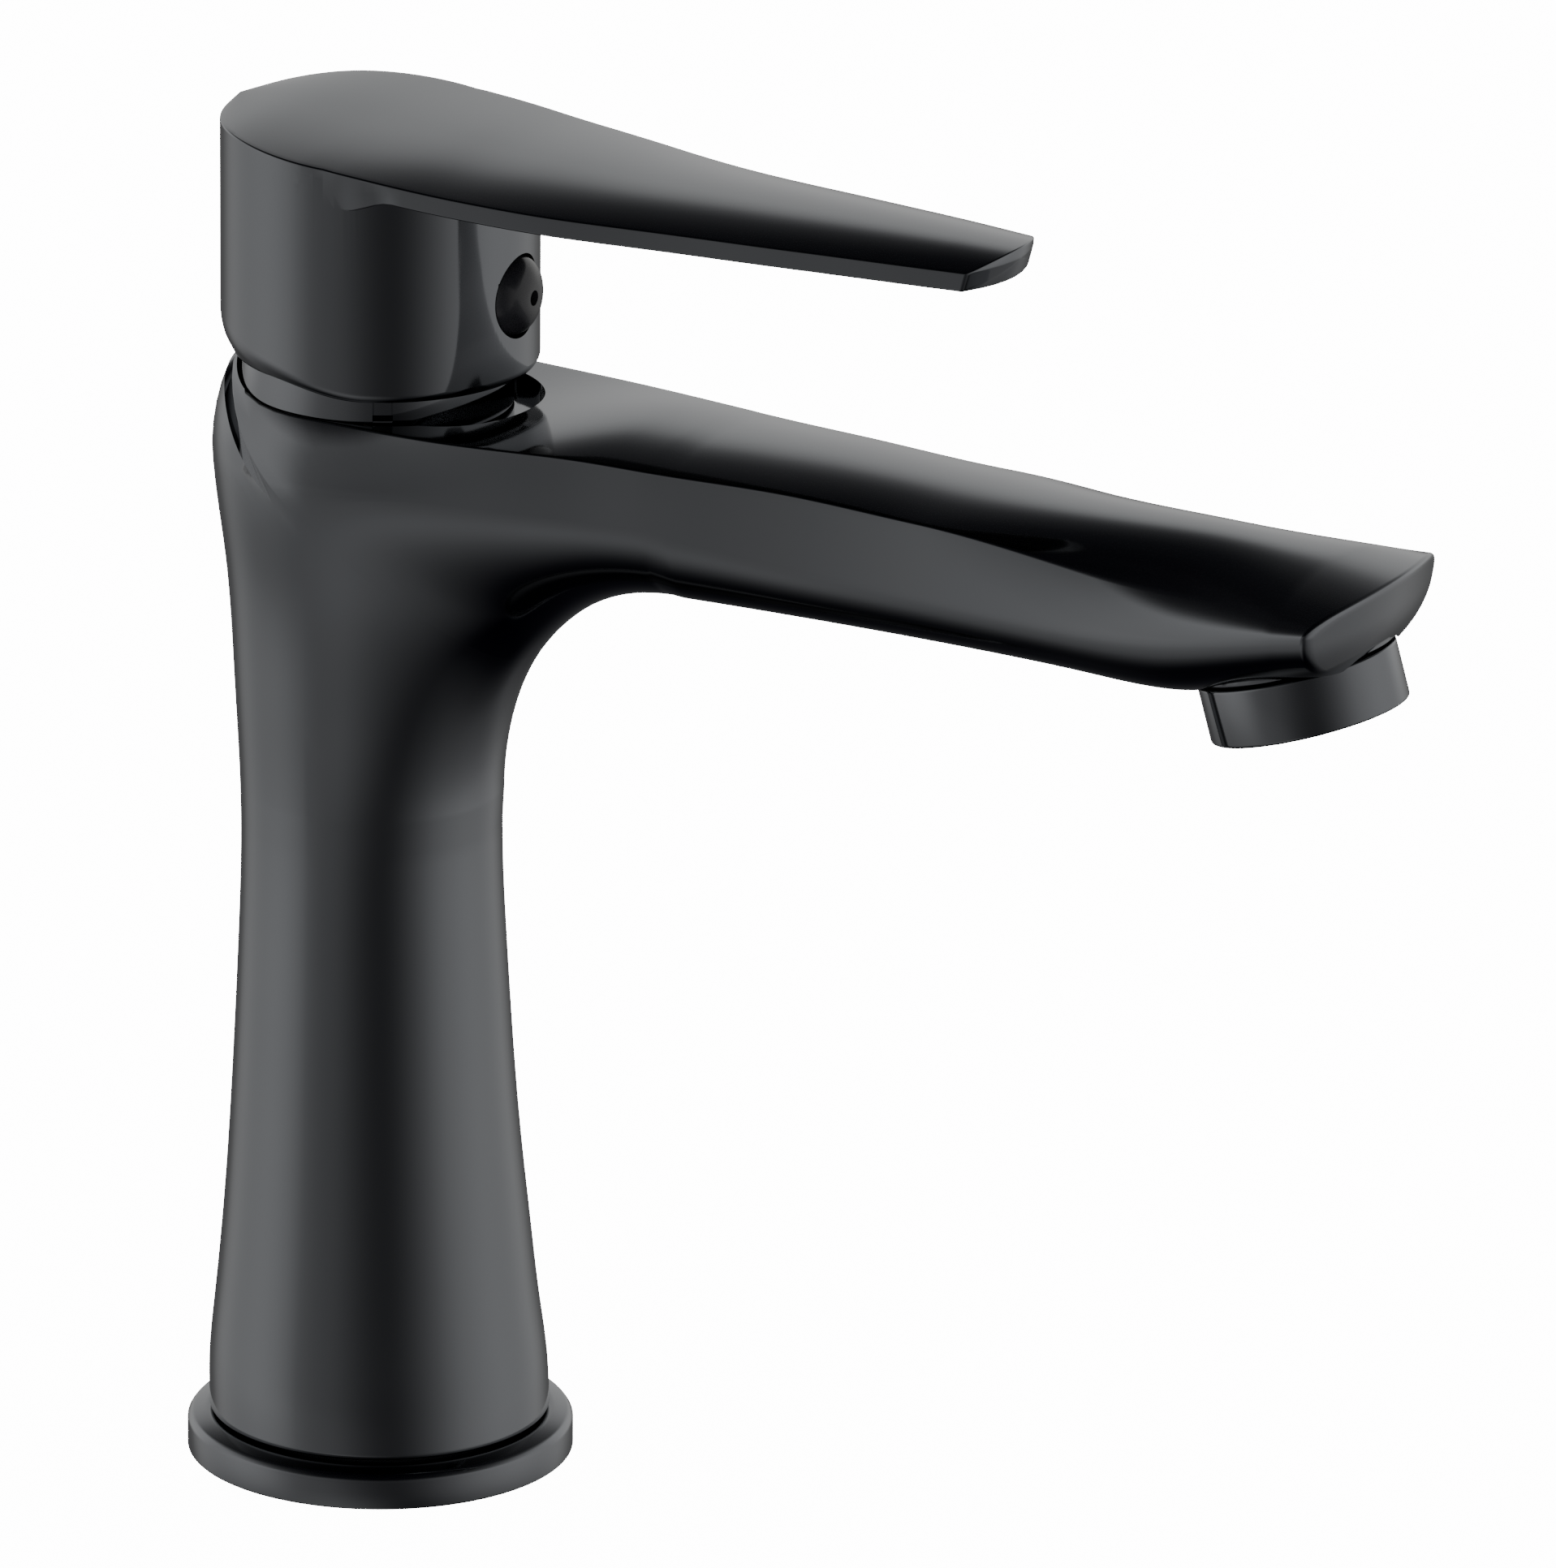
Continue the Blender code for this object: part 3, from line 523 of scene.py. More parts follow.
@dataclass
class CastBody:
    """The hollow casting: waisted column, head and spout in one skin.

    Attributes:
        foot_z: height of the column's foot.
        widest_z: height of the head's widest line.
        head_r: radius of the head there.
        rim_ratio: radius of the head's rim, as a share of head_r.
        rim_cut_r: radius of the pocket that the rim surrounds.
        pocket_z: floor of that pocket.
        pocket_front_r: radius of the pocket's bay toward the spout.
        pocket_front_y: how far in front of the column that bay is centred.
        thread_r, thread_z: radius and floor of the way for the nut.
        chamber_r, chamber_z: radius and floor of the cartridge's chamber.
        supply_r, supply_z: radius and ceiling of the cavity for the supplies.
        inlet_r, inlet_x: radius of the two inlet sockets, and their distance from the axis.
        inlet_range: heights between which they are bored.
        stud_r, stud_y: radius of the stud's hole, and its distance behind the axis.
        stud_range: heights between which it is bored.
        socket_r, socket_h: radius and height of the aerator's socket, above its rim.
        mouth_gap: clearance round the aerator's ring.
        fan_u, fan_z: pivot of the planes through the elbow.
        crotch_reach, crotch_rise: half-axes of the curve between column and spout.
        farthest_back, above_all_z: reach and height that lie outside the casting for certain.
        elbow_span: plane angles, in degrees, between which the column's width becomes the spout's.
        crown_span: u between which the top's crown grows.
        dome_span: u between which the creased top becomes a dome.
        dome_share: height of the last crease, as a share of the dome.
        slim_span: u between which the dome's shoulders slim.
        crown: how far the top stands above its edges.
        edge: length of the rounding of the top's crease.
        end_edge: length of the rounding round the end face.
        end_middle_z: height of the middle of the end face.
        end_reach: how far that middle stands out.
        end_r: half-width over which the end face bows back by end_bow.
        end_bow: how far it bows back there.
        end_half_h: about half of the end face's height.
        tuck, tuck_z, tuck_h: how far its foot is tucked in, over which height below which level.
        lean, lean_z: how steeply the face leans back, and the level where it doesn't.
        blunt_power: power of the rounded-square sections.
        inner_points, side_points, top_points: points on the underside, the sides and the top of a section.
        column: (z, radius, u of the centre) of the column and the head.
        spout_plan: (u, half-width) of the spout.
        crease_ratio: (u, share of the half-width at the top's crease).
        top_edge: (u, z) of the top's crease.
        underside: (u, z) of the spout's lowest line.
        centre_line: (u, z) of the spout's highest line.
        spout_widest: (u, z) of the spout's widest line.
    """

    foot_z: float = 5.6
    widest_z: float = 136.0
    head_r: float = 21.5
    rim_ratio: float = 0.862
    rim_cut_r: float = 18.3
    pocket_z: float = 142.0
    pocket_front_r: float = 14.0
    pocket_front_y: float = -8.0
    thread_r: float = 15.5
    thread_z: float = 134.5
    chamber_r: float = 13.0
    chamber_z: float = 112.0
    supply_r: float = 13.0
    supply_z: float = 60.0
    inlet_r: float = 5.0
    inlet_x: float = 6.8
    inlet_range: tuple[float, float] = (54.0, 76.0)
    stud_r: float = 3.8
    stud_y: float = 8.6
    stud_range: tuple[float, float] = (55.0, 74.0)
    socket_r: float = 11.5
    socket_h: float = 14.6
    mouth_gap: float = 0.35
    fan_u: float = 46.0
    fan_z: float = 90.0
    crotch_reach: float = 30.2
    crotch_rise: float = 34.0
    farthest_back: float = 115.0
    above_all_z: float = 152.0
    elbow_span: tuple[float, float] = (0.0, 50.0)
    crown_span: tuple[float, float] = (16.0, 40.0)
    dome_span: tuple[float, float] = (84.0, 124.0)
    dome_share: float = 0.55
    slim_span: tuple[float, float] = (96.0, 130.0)
    crown: float = 1.6
    edge: float = 0.35
    end_edge: float = 0.8
    end_middle_z: float = 134.6
    end_reach: float = 144.3
    end_r: float = 18.3
    end_bow: float = 3.0
    end_half_h: float = 9.0
    tuck: float = 3.0
    tuck_z: float = 137.0
    tuck_h: float = 8.3
    lean: float = 0.13
    lean_z: float = 140.0
    blunt_power: float = 2.25
    inner_points: int = 26
    side_points: int = 14
    top_points: int = 20

    column: Knots = (
        (5.6, 22.0, -0.1), (12.0, 21.9, -0.3), (20.0, 21.05, -0.5), (30.0, 20.0, -0.6), (41.0, 19.0, -0.8),
        (54.0, 18.1, -1.0), (70.0, 17.25, -1.15), (88.0, 16.85, -1.25), (104.0, 17.8, -1.0),
        (121.5, 19.5, -0.4), (130.3, 20.9, -0.1), (136.0, 21.5, 0.0), (150.0, 21.5, 0.0),
    )
    spout_plan: Knots = (
        (-30.0, 21.5), (0.0, 21.5), (4.0, 21.1), (10.0, 20.0), (17.0, 18.6), (28.0, 16.9), (36.0, 15.7),
        (46.0, 14.7), (58.0, 13.5), (70.0, 12.8), (82.0, 12.8), (94.0, 13.4), (106.0, 14.4), (120.0, 16.1),
        (132.0, 17.5), (142.0, 18.4), (150.0, 18.9),
    )
    crease_ratio: Knots = (
        (-30.0, 0.862), (0.0, 0.862), (10.0, 0.89), (17.0, 0.945), (28.0, 0.975), (150.0, 0.975),
    )
    top_edge: Knots = (
        (-24.0, 149.2), (-18.5, 148.4), (-16.0, 146.8), (-13.5, 145.7), (-10.0, 145.0), (0.0, 144.7),
        (8.0, 144.4), (20.0, 144.1), (36.0, 144.05), (50.0, 143.6), (65.0, 143.3), (80.0, 142.5),
        (94.0, 142.1), (110.0, 142.0), (160.0, 142.0),
    )
    underside: Knots = (
        (46.0, 124.0), (90.0, 124.0), (104.0, 123.8), (114.0, 123.5), (119.0, 123.8), (125.0, 125.2),
        (131.0, 127.0), (138.0, 129.1), (150.0, 132.6),
    )
    centre_line: Knots = (
        (46.0, 145.25), (64.0, 144.9), (80.0, 144.15), (94.0, 143.8), (106.0, 143.8), (118.0, 143.7),
        (128.0, 143.1), (136.0, 142.2), (142.0, 141.2), (150.0, 140.6),
    )
    spout_widest: Knots = (
        (46.0, 136.0), (52.0, 135.6), (62.0, 134.5), (80.0, 133.3), (98.0, 132.6), (110.0, 132.8),
        (122.0, 134.2), (133.0, 136.4), (142.0, 138.1), (150.0, 138.9),
    )

    def __post_init__(self) -> None:
        """Samples the curves that the skin follows."""
        self.radius_at = Curve(self.column, 1)
        self.centre_at = Curve(self.column, 2)
        self.plan_at = Curve(self.spout_plan)
        self.crease_at = Curve(self.crease_ratio)
        self.top_at = Curve(self.top_edge)
        self.low_at = Curve(self.underside)
        self.centre_line_at = Curve(self.centre_line)
        self.widest_at = Curve(self.spout_widest)

    def shoulder_radius(self, u: float, z: float) -> float:
        """Radius of the column and the head, whose shoulder is taller toward the back.

        Args:
            u: place along the spout's direction, which sets the shoulder's height.
            z: height.

        Returns:
            The radius at that height.
        """
        if z <= self.widest_z:
            return self.radius_at(z)
        height = (self.top_at(min(u, 0.0)) - self.widest_z) / sqrt(1.0 - self.rim_ratio**2)
        rise = min((z - self.widest_z) / height, 0.95)
        return self.head_r * sqrt(1.0 - rise * rise)

    def side_width(self, u: float, z: float, share: float) -> float:
        """Half-width of the elbow's outer skin.

        Args:
            u: place along the spout's direction.
            z: height.
            share: 0 on the column, 1 on the spout.

        Returns:
            The half-width there.
        """
        radius = self.shoulder_radius(u, z)
        if u <= 0.0:
            across = u - self.centre_at(z)
            return sqrt(max(radius * radius - across * across, 0.0))
        narrowing = radius / self.head_r
        if z > self.widest_z:
            closing = (1.0 - radius / self.head_r) / (1.0 - self.rim_ratio)
            narrowing = 1.0 - (1.0 - self.crease_at(u)) * closing
        return (self.head_r + (self.plan_at(u) - self.head_r) * share) * narrowing

    @property
    def outer_points(self) -> int:
        """How many points a half section has after its widest one."""
        return self.side_points + self.top_points + 5

    def fan_point(self, angle: float, reach: float) -> tuple[float, float]:
        """Place (u, z) at a distance from the fan's pivot, in the plane at an angle above the level."""
        return self.fan_u - reach * cos(angle), self.fan_z + reach * sin(angle)

    def column_half(self, z: float) -> Half:
        """Half of the column's round section, from its front to its back.

        Args:
            z: height of the section.

        Returns:
            Its points, as many as on every other half section.
        """
        radius, centre = self.radius_at(z), self.centre_at(z)
        outer = self.outer_points
        turns = [0.5 * pi * i / self.inner_points for i in range(self.inner_points + 1)]
        turns += [0.5 * pi * (1.0 + i / outer) for i in range(1, outer + 1)]
        return [(centre + radius * cos(turn), z, radius * sin(turn)) for turn in turns]

    def rim_angle(self) -> float:
        """Angle of the plane that leaves through the rim's highest point, at the back."""
        back = -self.head_r * self.rim_ratio
        return np.arctan2(self.top_at(back) - self.fan_z, self.fan_u - back)

    def elbow_half(self, angle: float) -> Half:
        """Half section of the elbow, from the crotch to the back or to the middle of the top.

        Args:
            angle: of the section's plane above the level.

        Returns:
            Its points in order.
        """
        share = ease(degrees(angle), *self.elbow_span)
        inner = 1.0 / sqrt((cos(angle) / self.crotch_reach) ** 2 + (sin(angle) / self.crotch_rise) ** 2)
        reach = self.fan_u / (cos(angle) ** 10 + sin(angle) ** 10) ** 0.1
        middle = reach - self.centre_at(self.fan_z) * (1.0 - share)
        power = 2.0 + (self.blunt_power - 2.0) * share
        half = []
        for i in range(self.inner_points + 1):
            t = max(cos(0.5 * pi * i / self.inner_points), 0.0)
            u, z = self.fan_point(angle, middle - (middle - inner) * t)
            half.append((u, z, self.side_width(u, z, share) * (1.0 - t**power) ** (1.0 / power)))
        if angle < self.rim_angle():
            return half + self.elbow_back(angle, middle, share)
        return half + self.elbow_top(angle, middle, share)

    def elbow_back(self, angle: float, middle: float, share: float) -> Half:
        """The rest of an elbow section that leaves through the back.

        Args:
            angle: of the section's plane.
            middle: reach of the section's widest point.
            share: 0 on the column, 1 on the spout.

        Returns:
            The points after the widest one, in order.
        """
        def outside(reach: float) -> float:
            """How far a reach lies behind the skin."""
            u, z = self.fan_point(angle, reach)
            return self.centre_at(z) - u - self.shoulder_radius(u, z)

        back = solve(outside, self.fan_u, self.farthest_back)
        half = []
        for i in range(1, self.outer_points + 1):
            u, z = self.fan_point(angle, middle + (back - middle) * sin(0.5 * pi * i / self.outer_points))
            half.append((u, z, self.side_width(u, z, share) if i < self.outer_points else 0.0))
        return half

    def elbow_top(self, angle: float, middle: float, share: float) -> Half:
        """The rest of an elbow section that leaves through the top.

        Args:
            angle: of the section's plane.
            middle: reach of the section's widest point.
            share: 0 on the column, 1 on the spout.

        Returns:
            The points after the widest one, in order.
        """
        def above(reach: float) -> float:
            """How far a reach lies above the crease."""
            u, z = self.fan_point(angle, reach)
            return z - self.top_at(u)

        def skin(reach: float) -> Point:
            """The side's point at a reach."""
            u, z = self.fan_point(angle, reach)
            return u, z, self.side_width(u, z, share)

        crease = solve(above, middle, (self.above_all_z - self.fan_z) / sin(angle))

        def top(part: float) -> Point:
            """Finds the top's point at a share of the crease's half-width.

            Args:
                part: the share.

            Returns:
                The point.
            """
            u, z, width = skin(crease)
            rise = self.crown * ease(u, *self.crown_span) * (1.0 - part * part)
            u, z = self.fan_point(angle, crease + rise / sin(angle))
            return u, z, width * part

        return self.upper_half(skin, top, middle, crease)

    def upper_half(self, skin: Callable[[float], Point], top: Callable[[float], Point], middle: float,
                   crease: float) -> Half:
        """Points from the widest line up the side, round the crease and across the top.

        Args:
            skin: (u, z, half-width) of the side at a reach.
            top: the same on the top, at a share of the crease's half-width.
            middle: reach of the widest line.
            crease: reach of the crease.

        Returns:
            The points after the widest one, in order.
        """
        width = max(skin(crease)[2], 1e-3)
        before = crease - min(self.edge, 0.4 * (crease - middle))
        after = 1.0 - min(self.edge / width, 0.4)
        count = self.side_points
        half = [skin(middle + (before - middle) * i / count) for i in range(1, count + 1)]
        half += rounded(half[-1], skin(crease), top(after))
        half += [top(after * (1.0 - i / (self.top_points + 1))) for i in range(self.top_points + 2)]
        half[-1] = (half[-1][0], half[-1][1], 0.0)
        return half

    def spout_half(self, u: float) -> Half:
        """Upright half section of the spout: creased near the elbow, a plain dome near the end.

        Args:
            u: place along the spout.

        Returns:
            Its points in order.
        """
        low, centre, widest = self.low_at(u), self.centre_line_at(u), self.widest_at(u)
        width = self.plan_at(u)
        power = self.blunt_power
        upper_power = power - 0.3 * ease(u, *self.slim_span)
        half = []
        for i in range(self.inner_points + 1):
            t = max(cos(0.5 * pi * i / self.inner_points), 0.0)
            half.append((u, widest - (widest - low) * t, width * (1.0 - t**power) ** (1.0 / power)))
        fade = ease(u, *self.dome_span)
        crease = self.top_at(u) * (1.0 - fade) + (widest + self.dome_share * (centre - widest)) * fade
        dome_ratio = (1.0 - self.dome_share**upper_power) ** (1.0 / upper_power)
        ratio = self.crease_at(u) * (1.0 - fade) + dome_ratio * fade
        close = (crease - widest) / (1.0 - ratio**upper_power) ** (1.0 / upper_power)

        def skin(z: float) -> Point:
            """The side's point at a height."""
            t = min(max((z - widest) / close, 0.0), 1.0)
            return u, z, width * (1.0 - t**upper_power) ** (1.0 / upper_power)

        def dome(part: float) -> float:
            """Height of a whole dome at a share of the crease's half-width, as a share of its own."""
            return (1.0 - (ratio * part) ** upper_power) ** (1.0 / upper_power)

        def top(part: float) -> Point:
            """The top's point at a share of the crease's half-width."""
            shape = (1.0 - fade) * (1.0 - part * part) + fade * (dome(part) - dome(1.0)) / (1.0 - dome(1.0))
            return u, crease + (centre - crease) * shape, width * ratio * part

        return half + self.upper_half(skin, top, widest, crease)

    def end_u(self, x: float, z: float) -> float:
        """How far the end face stands out: bowed forward in plan and tucked in near its foot.

        Args:
            x: distance from the middle.
            z: height.

        Returns:
            The u of the face there.
        """
        tuck = self.tuck * (max(self.tuck_z - z, 0.0) / self.tuck_h) ** 2.5
        lean = self.lean * (self.lean_z - z)
        return self.end_reach - self.end_bow * (x / self.end_r) ** 2 - (tuck + lean)

    def end_skin_ring(self, inset: float) -> Half:
        """Half ring on the spout's skin at a distance behind the end face.

        Args:
            inset: the distance.

        Returns:
            The ring's points in order.
        """
        halves = {u: self.spout_half(u) for u in np.linspace(134.0, 146.0, 49)}
        places = sorted(halves)
        found = []
        for j in range(len(halves[places[0]])):
            gaps = [u - (self.end_u(halves[u][j][2], halves[u][j][1]) - inset) for u in places]
            i = next(k for k, gap in enumerate(gaps) if gap >= 0.0)
            share = gaps[i - 1] / (gaps[i - 1] - gaps[i])
            first, second = halves[places[i - 1]][j], halves[places[i]][j]
            found.append(tuple(a + (b - a) * share for a, b in zip(first, second)))
        return found

    def end_face_ring(self, rim: Half, scale: float) -> Half:
        """Half ring on the end face.

        Args:
            rim: the face's outer edge.
            scale: size of the ring, as a share of that edge.

        Returns:
            The ring's points in order.
        """
        points = []
        for _, z, width in rim:
            x, height = width * scale, self.end_middle_z + (z - self.end_middle_z) * scale
            points.append((self.end_u(x, height), height, x))
        return points

    def end_rings(self) -> list[Half]:
        """The last ring on the skin, the rounding of the edge and the end face itself.

        Returns:
            The half rings in order.
        """
        rim, before = self.end_skin_ring(0.0), self.end_skin_ring(self.end_edge)
        after = self.end_face_ring(rim, 1.0 - self.end_edge / self.end_half_h)
        corners = [rounded(a, b, c, 5) for a, b, c in zip(before, rim, after)]
        rings = [before, *[[corner[k] for corner in corners] for k in range(5)], after]
        scales = (0.84, 0.72, 0.6, 0.48, 0.36, 0.24, 0.12, 0.04)
        return rings + [self.end_face_ring(rim, scale) for scale in scales]

    @staticmethod
    def whole(half: Half) -> list[Point]:
        """Closes a half section with its mirror image.

        Args:
            half: the half section.

        Returns:
            The whole ring as (x, y, z) points.
        """
        near = [(-w, -u, z) for u, z, w in half]
        far = [(w, -u, z) for u, z, w in reversed(half[1:-1])]
        near[0] = (0.0, near[0][1], near[0][2])
        near[-1] = (0.0, near[-1][1], near[-1][2])
        return near + far

    def skin(self) -> bpy.types.Object:
        """Makes the closed outer form of the casting.

        Returns:
            The casting, still solid.
        """
        foot = [self.column_half(self.foot_z + rise) for rise in (0.0, 0.12, 0.35, 0.8)]
        for i, narrowing in enumerate((0.985, 0.995)):
            foot[i] = [(u * narrowing, z, w * narrowing) for u, z, w in foot[i]]
        halves = foot + [self.column_half(z) for z in np.linspace(8.0, 86.0, 40)]
        rim = self.rim_angle()
        angles = list(np.linspace(0.0, rim, 34)) + list(np.linspace(rim + 0.002, 0.5 * pi, 34))
        halves += [self.elbow_half(angle) for angle in angles]
        halves += [self.spout_half(u) for u in np.linspace(48.0, 136.0, 62)]
        halves += self.end_rings()
        return loft("faucet_body_casting", [self.whole(half) for half in halves])

    def build(self, aerator: "Aerator") -> None:
        """Makes the casting with its pocket, chamber, supply cavity and aerator socket.

        Args:
            aerator: the outlet that the socket is bored for.
        """
        casting = self.skin()
        shoulder, boss_top = aerator.ring_h + GAP, 13.0
        boss = aerator.place("boss", eased_outline(rod(aerator.ring_r, shoulder, boss_top), 0.2))
        combine(casting, [boss], Cut.JOIN)
        sky = 165.0
        pocket = [(0.0, sky), (self.rim_cut_r, sky), (self.rim_cut_r, self.pocket_z),
                  (self.thread_r, self.pocket_z), (self.thread_r, self.thread_z),
                  (self.chamber_r, self.thread_z), (self.chamber_r, self.chamber_z), (0.0, self.chamber_z)]
        front = rod(self.pocket_front_r, self.pocket_z, sky)
        mouth_r, below = aerator.ring_r + self.mouth_gap, -4.0
        socket = [(0.0, self.socket_h), (self.socket_r, self.socket_h), (self.socket_r, shoulder),
                  (mouth_r, shoulder), (mouth_r, below), (0.0, below)]
        combine(casting, [
            turned("pocket", pocket, 160),
            turned("pocket_front", front, 128, (0.0, self.pocket_front_y)),
            turned("supply_cavity", rod(self.supply_r, 0.0, self.supply_z), 96),
            aerator.place("socket", socket),
        ])
        for side in (-1.0, 1.0):
            inlet = rod(self.inlet_r, *self.inlet_range)
            combine(casting, [turned("inlet_socket", inlet, 48, (side * self.inlet_x, 0.0))])
        combine(casting, [turned("stud_hole", rod(self.stud_r, *self.stud_range), 40, (0.0, self.stud_y))])
        ease_edges(casting, 0.15)
        hand_over(casting, Body.ROOT, BLACK_CHROME, ["faucet_body"])


# ---------------------------------------------------------------- aerator

@dataclass
class Aerator:
    """Tilted outlet ring and the insert that shows inside it.

    Attributes:
        tilt: lean of the outlet's axis.
        centre_u, centre_z: middle of the ring's rim.
        ring_r, ring_h: outer radius and height of the ring's lower part.
        rim_bore: bore at the rim.
        step_bore, step_h: bore behind the insert, and the height of its step.
        neck_r, neck_h: outer radius and height of the part inside the socket.
        cup_r, cup_range: outer radius of the insert, and the heights of its foot and top.
        cup_bore, cup_floor: bore of the insert's upper side, and the height of its floor.
        jet_r: radius of the insert's holes.
        jet_circles: how many holes there are on each circle, and the circle's radius.
    """

    tilt: float = radians(16.3)
    centre_u: float = 132.9
    centre_z: float = 121.0
    ring_r: float = 12.8
    ring_h: float = 7.7
    rim_bore: float = 10.9
    step_bore: float = 10.4
    step_h: float = 9.0
    neck_r: float = 11.1
    neck_h: float = 13.0
    cup_r: float = 10.5
    cup_range: tuple[float, float] = (1.0, 8.6)
    cup_bore: float = 8.9
    cup_floor: float = 3.4
    jet_r: float = 1.0
    jet_circles: tuple[tuple[int, float], ...] = ((1, 0.0), (6, 3.3), (10, 6.4))

    @property
    def middle(self) -> Point:
        """Middle of the outlet's rim."""
        return 0.0, -self.centre_u, self.centre_z

    @property
    def up(self) -> Point:
        """Direction from the outlet into the spout."""
        return 0.0, sin(self.tilt), cos(self.tilt)

    def place(self, name: str, outline: Outline, steps: int = 128) -> bpy.types.Object:
        """A turned solid on the outlet's axis, heights measured from the rim."""
        return lay_along(turned(name, outline, steps), self.middle, self.up)

    def jets(self, low: float, high: float) -> list[bpy.types.Object]:
        """Makes the helper rods that bore the insert's holes.

        Args:
            low: height where the rods start.
            high: height where they end.

        Returns:
            The rods.
        """
        rods = []
        for count, spread in self.jet_circles:
            for i in range(count):
                turn = 2.0 * pi * i / count
                jet = turned("jet", rod(self.jet_r, low, high), 20, (spread * cos(turn), -spread * sin(turn)))
                rods.append(lay_along(jet, self.middle, self.up))
        return rods

    def build(self) -> None:
        """Makes the ring and what shows inside it."""
        top = self.ring_h - 0.1
        outline = [(self.step_bore, self.neck_h), (self.neck_r, self.neck_h), (self.neck_r, top),
                   (self.ring_r, top), (self.ring_r, 0.0), (self.rim_bore, 0.0), (self.rim_bore, self.step_h),
                   (self.step_bore, self.step_h)]
        housing = self.place("aerator_ring", eased_outline(outline, 0.45, 4))
        hand_over(housing, Body.ROOT, BLACK_CHROME, ["aerator_housing"])
        foot, rim = self.cup_range
        cup = [(0.0, self.cup_floor), (self.cup_bore, self.cup_floor), (self.cup_bore, rim),
               (self.cup_r, rim), (self.cup_r, foot), (0.0, foot)]
        insert = self.place("aerator_flow_insert", eased_outline(cup, 0.2))
        combine(insert, self.jets(0.0, 5.0))
        ease_edges(insert, 0.1)
        hand_over(insert, Body.ROOT, DARK_PLASTIC, ["aerator_insert"])


# ---------------------------------------------------------------- base and sleeve

@dataclass
class BaseRing:
    """Round flange between deck and column.

    Attributes:
        radius: outer radius.
        top_z: height.
        bore: radius of the hole for the column's parts.
        shoulder: (radius, height) corners that slope from the top to the side.
        groove_r: inner and outer radius of the gasket's groove.
        groove_h: depth of that groove.
    """

    radius: float = 25.0
    top_z: float = 5.2
    bore: float = 17.0
    shoulder: Outline = ((22.4, 5.2), (24.4, 4.7), (25.0, 3.9))
    groove_r: tuple[float, float] = (18.7, 23.3)
    groove_h: float = 1.7

    def build(self) -> None:
        """Makes the flange with its soft top edge and gasket groove."""
        inner, outer = self.groove_r
        outline = [(self.bore, self.top_z), *self.shoulder, (self.radius, 0.0), (outer, 0.0),
                   (outer, self.groove_h), (inner, self.groove_h), (inner, 0.0), (self.bore, 0.0)]
        flange = turned("base_flange", eased_outline(outline, 0.3, 3), 192)
        hand_over(flange, Body.ROOT, BLACK_CHROME, ["base_ring"])


@dataclass
class TrimSleeve:
    """Band between drum and head, low and slotted in front.

    Attributes:
        band_top: height of the band.
        band: (radius, height) corners of its outside below the top.
        top_r: its radius at the top.
        slot_r: radius behind the slots that end the band in front.
        skirt_r, skirt_foot: radius of the thin skirt in front, and the height of its foot.
        strip_r: radius of the skirt under the slots.
        inside_r: inner radius of the skirt, at its foot and at the seat.
        wall_top: height of the low wall in front.
        ledge: heights where the slots end and the skirt starts.
        bore: radius of the hole.
        seat_r, seat_range: radius of the nut's seat, and the heights below and above the seat's floor.
        slot_start, band_start: angles from the spout's direction where the slots and the band start.
        sharp: half-angle of the steps between them.
    """

    band_top: float = 149.0
    band: Outline = ((18.05, 145.2), (18.1, 144.7), (17.9, 144.4))
    top_r: float = 17.4
    slot_r: float = 15.9
    skirt_r: float = 17.1
    strip_r: float = 17.0
    inside_r: tuple[float, float] = (16.8, 16.75)
    skirt_foot: float = 142.4
    wall_top: float = 147.7
    ledge: tuple[float, float] = (145.0, 144.6)
    bore: float = 11.3
    seat_r: float = 15.2
    seat_range: tuple[float, float] = (144.4, 145.7)
    slot_start: float = radians(56.0)
    band_start: float = radians(64.0)
    sharp: float = 0.004

    def section(self, turn: float) -> list[Point]:
        """Outline of the sleeve's wall.

        Args:
            turn: angle from the spout's direction.

        Returns:
            The outline's (x, y, z) points.
        """
        front = cos(turn)
        if front > cos(self.slot_start):
            outer = [(self.skirt_r, z) for z in (self.wall_top, *self.ledge, self.skirt_foot)]
        elif front > cos(self.band_start):
            upper = [(self.slot_r, z) for z in (self.wall_top, self.ledge[0])]
            outer = upper + [(self.strip_r, z) for z in (self.ledge[1], self.skirt_foot)]
        else:
            outer = [(self.top_r, self.band_top), *self.band]
        foot, floor = self.seat_range
        inner = [(self.inside_r[0], outer[-1][1]), (self.inside_r[1], foot), (self.bore, foot)]
        corners = [(self.bore, floor), (self.seat_r, floor), (self.seat_r, outer[0][1]), *outer, *inner]
        return [(r * sin(turn), -r * cos(turn), z) for r, z in eased_outline(corners, 0.2, 2)]

    def build(self) -> None:
        """Makes the sleeve as one endless loft, with steps at the slots' ends."""
        turns = list(np.linspace(-pi + 2.0 * pi / 180, pi, 180))
        turns += [side * (start + nudge) for side in (-1, 1) for start in (self.slot_start, self.band_start)
                  for nudge in (-self.sharp, self.sharp)]
        sleeve = loft("trim_band", [self.section(turn) for turn in sorted(turns)], endless=True)
        hand_over(sleeve, Body.ROOT, BLACK_CHROME, ["trim_sleeve"])


# ---------------------------------------------------------------- handle

